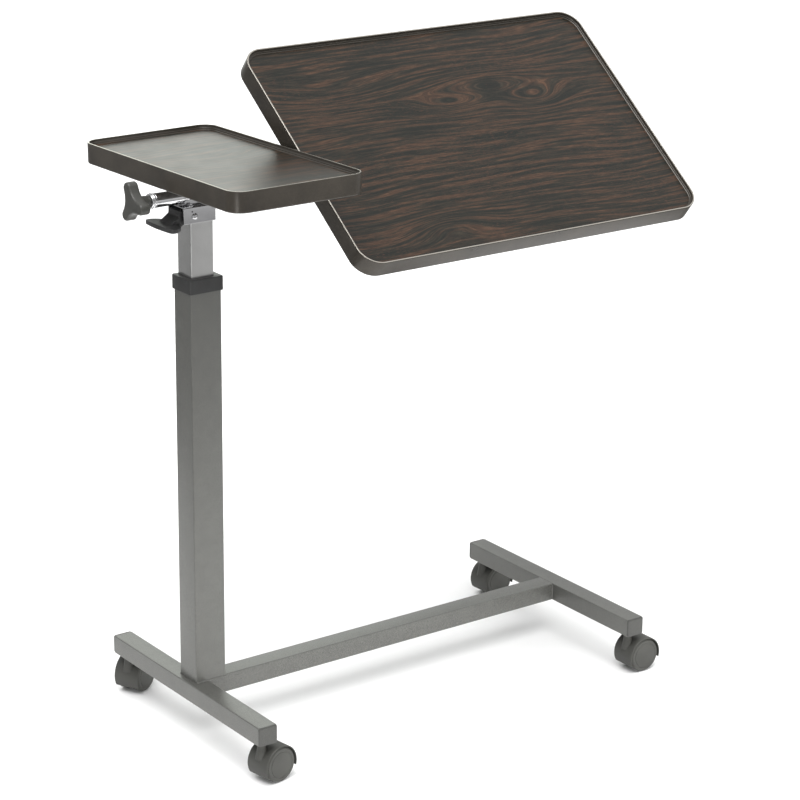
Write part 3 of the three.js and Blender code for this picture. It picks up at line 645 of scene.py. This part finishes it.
def mast_collar():
    """A thin cap over the mast's mouth with a softly rounded upper edge."""
    low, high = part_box("mast_collar")
    inner_low, inner_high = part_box("inner_tube")
    size = high - low
    shift = (inner_low + inner_high) / 2 - (low + high) / 2
    mouth = [p + shift.xy for p in rounded_rectangle(
        inner_high.x - inner_low.x + 1 * MM, inner_high.y - inner_low.y + 1 * MM, 1.2 * MM)]
    sleeve = 2 * 2.3 * MM
    edge = 1.4 * MM
    top = size.z
    plate = 3.2 * MM

    def outside(inset):
        return rounded_rectangle(size.x - 2 * inset, size.y - 2 * inset, 3.4 * MM - inset)

    stack = [
        (rounded_rectangle(size.x - sleeve, size.y - sleeve, 1.6 * MM), 0),
        (outside(0.3 * MM), 0), (outside(0), 0.4 * MM),
        (outside(0), top - edge), (outside(0.12 * edge), top - 0.5 * edge),
        (outside(0.4 * edge), top - 0.15 * edge), (outside(edge), top),
        (mouth, top), (mouth, top - plate),
        (rounded_rectangle(size.x - sleeve, size.y - sleeve, 1.6 * MM), top - plate),
    ]
    place = Matrix.Translation(((low.x + high.x) / 2, (low.y + high.y) / 2, low.z))
    collar = layers("mast_collar_fine", stack, place, closed=True, capped=False)
    dress(collar, "mast_collar", BLACK)


def build_mast():
    upright_tube("mast_tube", 2 * MM, 1.5 * MM, POWDER)
    mast_collar()
    low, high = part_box("mast_tube")
    inset = 1 * MM
    x0, x1, y0, y1 = low.x + inset, high.x - inset, low.y, high.y
    corners = ((x1, y0), (x0, y0), (x0, y1), (x1, y1), (x1, y0))
    path = [Vector((x, y, low.z)) for x, y in corners]
    weld_bead("weld_mast", path, 1.3 * MM, "mast_tube", seed=7)


# ---- head ---------------------------------------------------------------
def head_bracket():
    """A folded channel over the inner tube, with a hole for the pin and a small jig hole."""
    node = "head_bracket"
    low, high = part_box(node)
    plate = 2 * MM
    half = (high.y - low.y) / 2
    height = high.z - low.z
    bend = 2.6 * MM
    profile = rounded([
        (-half, 0, 0.4 * MM), (-half, height, bend), (half, height, bend), (half, 0, 0.4 * MM),
        (half - plate, 0, 0.4 * MM), (half - plate, height - plate, bend - plate * 0.8),
        (-half + plate, height - plate, bend - plate * 0.8), (-half + plate, 0, 0.4 * MM)],
        closed=True, steps=4)
    ease = 0.35 * MM
    eased = offset_inwards(profile[::-1], ease)[::-1]
    turn = Matrix(((0, 0, 1, 0), (1, 0, 0, 0), (0, 1, 0, 0), (0, 0, 0, 1)))
    place = Matrix.Translation((low.x, (low.y + high.y) / 2, low.z)) @ turn
    width = high.x - low.x
    stack = [(eased, 0), (profile, ease), (profile, width - ease), (eased, width)]
    channel = layers(f"{node}_fine", stack, place)
    pivot = Vector(joint("lever_turn")["pos_m"])
    across = Matrix.Rotation(math.radians(90), 4, "X")
    spot = Vector((pivot.x - 4 * MM, low.y, pivot.z + 7 * MM))
    pin_hole = rod("hole", 3.3 * MM, -30 * MM, 30 * MM, Matrix.Translation(pivot) @ across, 32)
    jig_hole = rod("hole", 1.1 * MM, -4 * MM, 4 * MM, Matrix.Translation(spot) @ across, 20)
    dress(cut(channel, pin_hole, jig_hole), node, CHROME)


def dome_profile(radius, height, steps=6):
    return [(radius * math.cos(a), height * math.sin(a))
            for a in (math.pi / 2 * step / steps for step in range(steps + 1))]


def pivot_pin():
    """A rivet with a domed head on each side of the bracket."""
    node = "lever_pivot_pin"
    low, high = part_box(node)
    half = (high.y - low.y) / 2
    head = 2.4 * MM
    shank = half - head
    radius = 4.6 * MM
    upper = [(r, shank + h) for r, h in dome_profile(radius, head)]
    lower = [(r, -h) for r, h in reversed(upper)]
    profile = lower + [(3 * MM, -shank), (3 * MM, shank)] + upper
    place = Matrix.Translation(middle(node)) @ Matrix.Rotation(math.radians(90), 4, "X")
    dress(lathe(f"{node}_fine", profile, place, 40), node, CHROME)


def hex_bolt(name, place, across, height, node):
    """A hexagon head on a washer, standing along the Z axis of `place`."""
    hexagon = [Vector((across / 2 * math.cos(a), across / 2 * math.sin(a)))
               for a in (math.pi / 3 * k for k in range(6))]
    washer = lathe(f"{name}_washer", rounded([
        (0, 0), (across * 0.72, 0, 0.15 * MM), (across * 0.72, 0.9 * MM, 0.2 * MM), (0, 0.9 * MM)],
        steps=2),
        place, 36)
    head = filleted_plate(f"{name}_head", hexagon, 0.9 * MM, 0.9 * MM + height, 0.4 * MM, place, steps=2)
    for piece in (washer, head):
        dress(piece, node, CHROME, replaced=False)


def along_x(x):
    """Placing whose Z axis runs along +X, from the tilt axis at `x`."""
    return Matrix.Translation((x, tilt_axis.y, tilt_axis.z)) @ Matrix.Rotation(math.radians(90), 4, "Y")


def support_tube():
    node = "support_tube"
    low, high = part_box(node)
    outer, length = (high.z - low.z) / 2, high.x - low.x
    inner = outer - 1.5 * MM
    profile = rounded([
        (inner, 0), (outer, 0, 0.5 * MM), (outer, length, 0.4 * MM), (inner, length)],
        closed=True, steps=3)
    tube = lathe(f"{node}_fine", profile, along_x(low.x), 96, closed=True)
    depth, past_end, reach = 7 * MM, 5 * MM, 20 * MM
    half_angle = math.radians(67)
    fan = [Vector((0, 0))] + [
        Vector((-reach * math.cos(a), reach * math.sin(a)))
        for a in (half_angle * (2 * k / 10 - 1) for k in range(11))]
    notch = layers("notch", [(fan, -depth), (fan, past_end)], along_x(high.x))
    dress(cut(tube, notch), node, CHROME_ROD)


def thrust_washer():
    node = "thrust_washer"
    low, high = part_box(node)
    radius, length = (high.z - low.z) / 2, high.x - low.x
    bore = 7.3 * MM
    groove = length / 2
    profile = rounded([
        (bore, 0, 0.3 * MM), (radius * 0.96, 0, 0.8 * MM), (radius, groove - 1.0 * MM, 0.8 * MM),
        (radius * 0.9, groove, 0.3 * MM), (radius, groove + 1.0 * MM, 0.8 * MM),
        (radius * 0.96, length, 0.8 * MM), (bore, length, 0.3 * MM)], closed=True, steps=4)
    dress(lathe(f"{node}_fine", profile, along_x(low.x), 72, closed=True), node, CHROME_ROD)


def tilt_shaft():
    """Stepped shaft: thin inside the support tube, full size under the large top."""
    node = "tilt_shaft"
    low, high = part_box(node)
    full, thin, bore = 10 * MM, 7 * MM, 4.4 * MM
    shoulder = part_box("support_tube")[1].x + 0.8 * MM - low.x
    length = high.x - low.x
    profile = rounded([
        (0, 32 * MM), (bore, 32 * MM), (bore, 0, 0.4 * MM), (thin, 0, 0.5 * MM), (thin, shoulder),
        (full, shoulder, 0.4 * MM), (full, length, 1 * MM), (0, length)], steps=4)
    shaft = lathe(f"{node}_fine", profile, along_x(low.x), 96)
    dress(shaft, node, CHROME_ROD)
    right = low.x + shoulder
    key = filleted_plate(
        "stop_key", rounded_rectangle(6 * MM, 6 * MM, 0.5 * MM),
        thin - 1 * MM, full - 0.4 * MM, 0.3 * MM,
        Matrix.Translation((right - 3.5 * MM, 0, 0)) @ POSE["large"])
    dress(key, node, CHROME_ROD, replaced=False)


def pan_screw(name, place, node):
    """A pan-head screw with a cross recess, its head along the Z axis of `place`."""
    radius, height = 3.4 * MM, 2.0 * MM
    profile = [(0, -0.5 * MM), (radius, -0.5 * MM)] + [(r, h) for r, h in dome_profile(radius, height)]
    head = lathe(name, profile, place, 32)
    arm, width = 1.9 * MM, 0.9 * MM
    cross = []
    for turn in (0, math.pi / 2):
        slot_place = place @ Matrix.Rotation(turn, 4, "Z")
        outline = [Vector((-arm, -width / 2)), Vector((arm, -width / 2)), Vector((arm, width / 2)),
                   Vector((-arm, width / 2))]
        cross.append(layers("recess", [(outline, height * 0.45), (outline, height * 2)], slot_place))
    dress(cut(head, *cross), node, STEEL, replaced=False)


SCREW_ALONG, SCREW_ACROSS = 7 * MM, 32 * MM      # screws from the middle of a saddle's plate


def board_saddle(node, top):
    """A softened copy of the saddle, with four screws through its plate."""
    dress(softened(node, 0.5 * MM), node, CHROME)
    x = middle(node).x
    drop = RIM_TOP[top] - BOARD_DROP - BOARD_THICKNESS - SADDLE_PLATE
    for i, (along, across) in enumerate(((-1, -1), (1, -1), (-1, 1), (1, 1))):
        under = (Matrix.Translation((x + along * SCREW_ALONG, 0, 0)) @ POSE[top]
                 @ Matrix.Translation((0, across * SCREW_ACROSS, drop)))
        pan_screw(f"{node}_screw_{i + 1}", under @ Matrix.Rotation(math.pi, 4, "X"), f"{top}_board")


# ---- tops ---------------------------------------------------------------
TOP_DEPTH = 400 * MM
TOP_Y = 2.5 * MM             # middle of both tops, from the tilt axis
RIM_TOP = {"small": 46.9 * MM, "large": 45.5 * MM}      # rim's upper edge over the tilt axis
TOP_CORNER = {"small": 24 * MM, "large": 33 * MM}
SADDLE_PLATE = 2.5 * MM
RIM_HEIGHT = 29.5 * MM
RIM_WALL = 3.2 * MM
BOARD_DROP = 6.8 * MM
BOARD_THICKNESS = 16 * MM
REBATE = 0.8 * MM
BEAD = 6 * MM
LIP_DEPTH = 0.12 * MM         # lighter crest along the top of the moulding: a painted highlight line
GAP = 0.3 * MM
CORNER_STEPS = 20


def rim_section():
    """Moulding's section as (inset from the outer face, height under the rim's top)."""
    bottom = -RIM_HEIGHT
    bead_bottom = -BOARD_DROP - REBATE + GAP
    board_bottom = -BOARD_DROP - BOARD_THICKNESS
    points = [
        (0, bottom + 1.5 * MM, 1.8 * MM), (0, 0, 1.0 * MM), (2.7 * MM, 0, 0.8 * MM),
        (2.9 * MM, -2.6 * MM, 0.8 * MM), (3.5 * MM, -4.4 * MM, 0.5 * MM),
        (4.3 * MM, -4.6 * MM, 0.3 * MM),
        (4.5 * MM, bead_bottom + 1.1 * MM, 0.3 * MM), (BEAD, bead_bottom + 0.5 * MM, 0.3 * MM),
        (BEAD, bead_bottom), (RIM_WALL, bead_bottom), (RIM_WALL, board_bottom - GAP),
        (7 * MM, board_bottom - GAP), (7 * MM, board_bottom - 2 * MM, 0.4 * MM),
        (3.3 * MM, board_bottom - 2.4 * MM, 0.5 * MM), (2.9 * MM, bottom, 0.7 * MM),
        (1.1 * MM, bottom, 0.8 * MM),
    ]
    return rounded(points, steps=4, closed=True)


def top_place(name):
    """Placing at the middle of a top, its Z axis square to the board."""
    across = Matrix.Translation((middle(f"{name}_rim").x, 0, 0))
    return across @ POSE[name] @ Matrix.Translation((0, TOP_Y, 0))


def top_outline(name, inset):
    """A top's plan, drawn in by `inset` from the moulding's outer face."""
    low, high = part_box(f"{name}_rim")
    return rounded_rectangle(
        high.x - low.x - 2 * inset, TOP_DEPTH - 2 * inset, TOP_CORNER[name] - inset, CORNER_STEPS)


def rim(name):
    section = rim_section()
    outlines = [top_outline(name, inset) for inset, _ in section]
    place = top_place(name)
    rings = []
    for column in range(len(outlines[0])):
        rings.append([
            place @ Vector((outline[column].x, outline[column].y, RIM_TOP[name] + height))
            for outline, (_, height) in zip(outlines, section)])
    piece = make_object(f"{name}_rim_fine", *bridge(rings, closed=True), sharp_angle=40)
    dress(piece, f"{name}_rim", MOULDING)
    # The thin crest gets the lighter metal: a painted highlight line along the top of the rim
    piece.data.materials.append(LIP)
    flatten = place.inverted()
    for polygon in piece.data.polygons:
        if (flatten @ polygon.center).z > RIM_TOP[name] - LIP_DEPTH:
            polygon.material_index = 1


def board(name, face_material):
    """Laminated board with a rebate round its upper edge, backed by a plain dark sheet."""
    place = top_place(name)
    top = RIM_TOP[name] - BOARD_DROP
    bottom = top - BOARD_THICKNESS
    edge = RIM_WALL + GAP
    ease = 0.2 * MM
    stack = [
        (top_outline(name, edge + ease), bottom), (top_outline(name, edge), bottom + ease),
        (top_outline(name, edge), top - REBATE), (top_outline(name, BEAD + GAP), top - REBATE),
        (top_outline(name, BEAD + GAP), top - ease), (top_outline(name, BEAD + GAP + ease), top)]
    piece = layers(f"{name}_board_fine", stack, place)
    dress(piece, f"{name}_board", BACKER)
    piece.data.materials.append(face_material)
    up = place.to_3x3() @ Vector((0, 0, 1))
    face_height = (place @ Vector((0, 0, top - REBATE / 2))).dot(up)
    for polygon in piece.data.polygons:
        if polygon.center.dot(up) > face_height:
            polygon.material_index = 1


def build_top(name, face_material):
    rim(name)
    board(name, face_material)
    for side in SIDES:
        board_saddle(f"{name}_saddle_{side}", name)


def build_head():
    upright_tube("inner_tube", 1.2 * MM, 1.5 * MM, CHROME_TUBE)
    head_bracket()
    pivot_pin()
    dress(softened("tube_saddle", 0.5 * MM), "tube_saddle", CHROME)
    support_tube()
    low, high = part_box("head_bracket")
    saddle_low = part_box("tube_saddle")[0]
    for i, y in enumerate((low.y + 4.6 * MM, high.y - 4.6 * MM)):
        spot = Matrix.Translation((saddle_low.x + 6 * MM, y, high.z))
        hex_bolt(f"saddle_bolt_{i + 1}", spot, 6.5 * MM, 2.6 * MM, "head_bracket")


# ---- release lever and clamp knob ---------------------------------------
def build_lever():
    dress(moulded("release_lever", 0.55 * MM, 9), "release_lever", BLACK)


KNOB_TIP_RADIUS = 30.5 * MM
KNOB_LOBE = 8.2 * MM
KNOB_WAIST = 10 * MM
KNOB_HALF_ARC = 1.7
KNOB_THICKNESS = 16.5 * MM
KNOB_ANGLE = math.radians(22.7)


def knob_outline(steps=14):
    """Three round lobes joined by hollow flanks, counter-clockwise."""
    reach = KNOB_TIP_RADIUS - KNOB_LOBE
    third = 2 * math.pi / 3
    line = []
    for arm in range(3):
        angle = arm * third
        centre = Vector((reach * math.cos(angle), reach * math.sin(angle)))
        for step in range(steps + 1):
            a = angle + KNOB_HALF_ARC * (2 * step / steps - 1)
            line.append(centre + KNOB_LOBE * Vector((math.cos(a), math.sin(a))))
        following = angle + third
        start = line[-1]
        end = (reach * Vector((math.cos(following), math.sin(following)))
               + KNOB_LOBE * Vector((math.cos(following - KNOB_HALF_ARC),
                                     math.sin(following - KNOB_HALF_ARC))))
        waist = KNOB_WAIST * Vector((math.cos(angle + third / 2), math.sin(angle + third / 2)))
        for step in range(1, steps):
            t = step / steps
            line.append(start * (1 - t) ** 2 + waist * 2 * t * (1 - t) + end * t * t)
    return line


def clamp_knob():
    node = "clamp_knob"
    low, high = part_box(node)
    upright = Matrix(((0, 0, -1, 0), (0, 1, 0, 0), (1, 0, 0, 0), (0, 0, 0, 1)))
    place = (Matrix.Translation((low.x + KNOB_THICKNESS, tilt_axis.y, tilt_axis.z))
             @ Matrix.Rotation(-KNOB_ANGLE, 4, "X") @ upright)
    body = filleted_plate(f"{node}_fine", knob_outline(), 0, KNOB_THICKNESS, 3.4 * MM, place, steps=6)
    back = low.x + KNOB_THICKNESS
    length = high.x - back
    hub = lathe("hub", rounded([
        (0, -2 * MM), (11.5 * MM, -2 * MM), (9.5 * MM, 0.2 * MM, 1.5 * MM), (7.8 * MM, length, 0.6 * MM),
        (0, length)]), along_x(back), 64)
    bore = rod("bore", 4.3 * MM, -8 * MM, length + 5 * MM, along_x(back), 40)
    dress(cut(join(body, hub), bore), node, KNOB)


# ---- casters ------------------------------------------------------------
HOOD_WALL = 1.8 * MM
OPEN_FROM, OPEN_TO = math.radians(211), math.radians(344)


def caster_frame(name):
    """Placing with the axle along +Y and the stem towards -X, at the wheels' centre."""
    swivel = Vector(joint(f"swivel_{name}")["pos_m"])
    roll = Vector(joint(f"roll_a_{name}")["pos_m"])
    trail = Vector((roll.x - swivel.x, roll.y - swivel.y, 0))
    turn = math.atan2(trail.y, trail.x)
    return Matrix.Translation(roll) @ Matrix.Rotation(turn, 4, "Z"), trail.length


AXLE = Matrix.Rotation(math.radians(-90), 4, "X")


def part_turn(name, profile, placing, start, stop, steps=72):
    """Revolves a closed (radius, height) section about the Z axis of `placing`, part of a turn."""
    rings = []
    for step in range(steps + 1):
        angle = start + (stop - start) * step / steps
        rings.append([
            placing @ Vector((r * math.cos(angle), r * math.sin(angle), h)) for r, h in profile])
    return make_object(name, *bridge(rings, capped=True))


def caster_hood(name):
    """A curved roof over both wheels on a central web, with a hub and a boss for the stem."""
    place, trail = caster_frame(name)
    node = f"caster_hood_{name}"
    radius, half, web, core = 29 * MM, 20.5 * MM, 5.3 * MM, 7.5 * MM
    inner = radius - HOOD_WALL
    section = rounded([
        (core, -web), (inner, -web, 1.6 * MM), (inner, -half, 0.4 * MM), (radius, -half, 1.3 * MM),
        (radius, half, 1.3 * MM), (inner, half, 0.4 * MM), (inner, web, 1.6 * MM), (core, web)],
        closed=True, steps=4)
    sideways = place @ Matrix.Rotation(math.radians(90), 4, "X")
    shell = part_turn(f"{node}_fine", section, sideways, OPEN_TO - 2 * math.pi, OPEN_FROM)
    boss_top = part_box(f"stem_socket_{name}")[0].z - 1.4 * MM - place.translation.z
    stem_place = place @ Matrix.Translation((-trail, 0, 0))
    boss = lathe("boss", rounded([
        (0, 10 * MM), (9.5 * MM, 10 * MM), (6.4 * MM, 27 * MM, 3 * MM), (6.2 * MM, boss_top, 0.8 * MM),
        (0, boss_top)]), stem_place, 48)
    boss = cut(boss, rod("room", inner + 0.3 * MM, -half, half, place @ AXLE, 96))
    hub_half = web - 0.05 * MM
    hub = rod("hub", 8 * MM, -hub_half, hub_half, place @ AXLE, 48)
    shell = join(shell, boss, hub)
    axle_hole = rod("axle_hole", 2.6 * MM, -half, half, place @ AXLE, 32)
    stem_hole = rod("stem_hole", 4.3 * MM, -4 * MM, 60 * MM, stem_place, 32)
    dress(cut(shell, axle_hole, stem_hole), node, HOOD)


def wheel(name, which):
    """A plain-faced wheel: crowned tread, rounded shoulders and a shallow ring in its face."""
    place, _ = caster_frame(name)
    side = 1 if which == "a" else -1
    radius, inner, outer = 26 * MM, 5.6 * MM, 20.3 * MM
    profile = rounded([
        (0, 15.8 * MM), (2.6 * MM, 15.8 * MM), (2.6 * MM, inner), (24 * MM, inner, 0.8 * MM),
        (radius, inner + 2 * MM, 1.5 * MM), (radius, outer - 2.4 * MM, 2.2 * MM),
        (23.6 * MM, outer - 0.5 * MM, 1 * MM), (20.2 * MM, outer - 0.5 * MM, 0.25 * MM),
        (19.8 * MM, outer - 0.9 * MM, 0.25 * MM), (19.2 * MM, outer - 0.9 * MM, 0.25 * MM),
        (18.8 * MM, outer - 0.25 * MM, 0.6 * MM), (7 * MM, outer, 2 * MM), (0, outer)], steps=4)
    facing = place @ Matrix.Rotation(math.pi * (side < 0), 4, "Z") @ AXLE
    node = f"wheel_{which}_{name}"
    dress(lathe(f"{node}_fine", profile, facing, 112), node, WHEEL)


def caster_stem(name):
    place, trail = caster_frame(name)
    node = f"caster_stem_{name}"
    low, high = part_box(node)
    bottom, top = low.z - place.translation.z, high.z - place.translation.z
    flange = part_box(f"stem_socket_{name}")[0].z - 1.3 * MM - place.translation.z
    profile = rounded([
        (0, bottom), (4 * MM, bottom, 0.3 * MM), (4 * MM, flange), (5.6 * MM, flange, 0.2 * MM),
        (5.6 * MM, flange + 1 * MM, 0.2 * MM), (4.1 * MM, flange + 1 * MM),
        (4.1 * MM, top - 2 * MM, 0.5 * MM),
        (3.2 * MM, top, 0.5 * MM), (0, top)], steps=3)
    stem = lathe(f"{node}_fine", profile, place @ Matrix.Translation((-trail, 0, 0)), 48)
    dress(stem, node, STEEL)


def build_casters():
    for side in SIDES:
        for end in ENDS:
            name = f"{side}_{end}"
            caster_stem(name)
            caster_hood(name)
            for which in ("a", "b"):
                wheel(name, which)


def paint_inner_nodes():
    """The CAD nodes that stay as they are: guides, bushes, gas spring, stud and axles."""
    for node, piece in frame["nodes"].items():
        if piece.hide_render:
            continue
        sliding = any(word in node for word in ("guide", "glide", "bush"))
        piece.data.materials.clear()
        piece.data.materials.append(GUIDE if sliding else STEEL)


# ---- scene --------------------------------------------------------------
def build_stage():
    """A pale floor, with a sheet of the same paint round the table that bright pieces can reflect."""
    paint = floor_paint()
    for name, reach, drop in (("floor", 30, 0.4 * MM), ("floor_sheet", 1.05, 0.2 * MM)):
        mesh = bpy.data.meshes.new(name)
        corners = ((-reach, -reach), (reach, -reach), (reach, reach), (-reach, reach))
        mesh.from_pydata([(x, y, -drop) for x, y in corners], [], [(0, 1, 2, 3)])
        panel = new_object(name, mesh)
        panel.data.materials.append(paint)
        panel.visible_glossy = name != "floor"


def softbox(name, place, target, size, power, spread=180):
    lamp = bpy.data.lights.new(name, "AREA")
    lamp.shape = "RECTANGLE"
    lamp.size, lamp.size_y = size
    lamp.energy = power
    lamp.spread = math.radians(spread)
    box = new_object(name, lamp)
    box.location = place
    box.rotation_mode = "QUATERNION"
    box.rotation_quaternion = (Vector(target) - Vector(place)).to_track_quat("-Z", "Y")
    box.visible_camera = False
    return box


def build_world():
    """A dim room: lighter overhead and towards +X, so bright metal has something to show."""
    world = bpy.data.worlds.new("studio")
    world.use_nodes = True
    tree = world.node_tree
    axes = tree.nodes.new("ShaderNodeSeparateXYZ")
    tree.links.new(tree.nodes.new("ShaderNodeTexCoord").outputs["Generated"], axes.inputs[0])
    height = tree.nodes.new("ShaderNodeMapRange")
    tree.links.new(axes.outputs["Z"], height.inputs["Value"])
    for socket, value in (("From Min", -0.6), ("From Max", 0.8), ("To Min", 0.26), ("To Max", 0.85)):
        height.inputs[socket].default_value = value
    side = tree.nodes.new("ShaderNodeMath")
    side.operation = "MULTIPLY_ADD"
    tree.links.new(axes.outputs["X"], side.inputs[0])
    side.inputs[1].default_value = 0.42
    side.inputs[2].default_value = 1.0
    level = tree.nodes.new("ShaderNodeMath")
    level.operation = "MULTIPLY"
    tree.links.new(height.outputs[0], level.inputs[0])
    tree.links.new(side.outputs[0], level.inputs[1])
    tree.links.new(level.outputs[0], tree.nodes["Background"].inputs["Strength"])
    tree.nodes["Background"].inputs["Color"].default_value = (1, 1, 1, 1)
    bpy.context.scene.world = world


SUN_LEAN = (math.radians(14), math.radians(-16), 0)
TRAY_TINT = (0.93, 1.0, 0.91)


def build_lights():
    """A broad sun; a box behind for the small top, one low for the base, one for the near corner."""
    build_world()
    lamp = bpy.data.lights.new("overhead", "SUN")
    lamp.energy = 3.0
    lamp.angle = math.radians(50)
    sun = new_object("overhead", lamp)
    sun.rotation_euler = SUN_LEAN
    tray = softbox("behind", (0.62, 2.35, 1.50), (-0.289, 0, 0.849), (1.9, 1.3), 12)
    tray.data.color = TRAY_TINT
    low = softbox("low_front", (0.05, -1.35, 0.10), (0.05, 0, 0.02), (1.6, 0.3), 2.8, spread=55)
    low.visible_glossy = False
    glint = softbox("corner_glint", (-1.31, -0.87, 0.47), (-0.39, -0.20, 0.85), (0.3, 0.6), 2)
    glint.visible_diffuse = False


CAMERA_PLACE = (-2.21530, -3.05896, 1.70631)
CAMERA_AZIMUTH = math.radians(-36.227)
CAMERA_ELEVATION = math.radians(18.419)
CAMERA_ROLL = math.radians(0.627)
LENS = 120.756


def build_camera():
    data = bpy.data.cameras.new("view")
    data.lens = LENS
    data.sensor_width = 36
    data.dof.use_dof = False
    camera = new_object("view", data)
    back = Vector((
        math.sin(CAMERA_AZIMUTH) * math.cos(CAMERA_ELEVATION),
        -math.cos(CAMERA_AZIMUTH) * math.cos(CAMERA_ELEVATION),
        math.sin(CAMERA_ELEVATION)))
    right = Vector((math.cos(CAMERA_AZIMUTH), math.sin(CAMERA_AZIMUTH), 0))
    axes = Matrix((right, back.cross(right), back)).transposed().to_4x4()
    camera.matrix_world = (
        Matrix.Translation(CAMERA_PLACE) @ axes @ Matrix.Rotation(CAMERA_ROLL, 4, "Z"))
    bpy.context.scene.camera = camera


build_base()
build_mast()
build_head()
build_lever()
build_top("small", LAMINATE_SMALL)
build_top("large", LAMINATE_LARGE)
tilt_shaft()
thrust_washer()
clamp_knob()
build_casters()
paint_inner_nodes()
build_stage()
build_lights()
build_camera()
bpy.context.scene.view_settings.view_transform = "Standard"

bpy.context.view_layer.update()
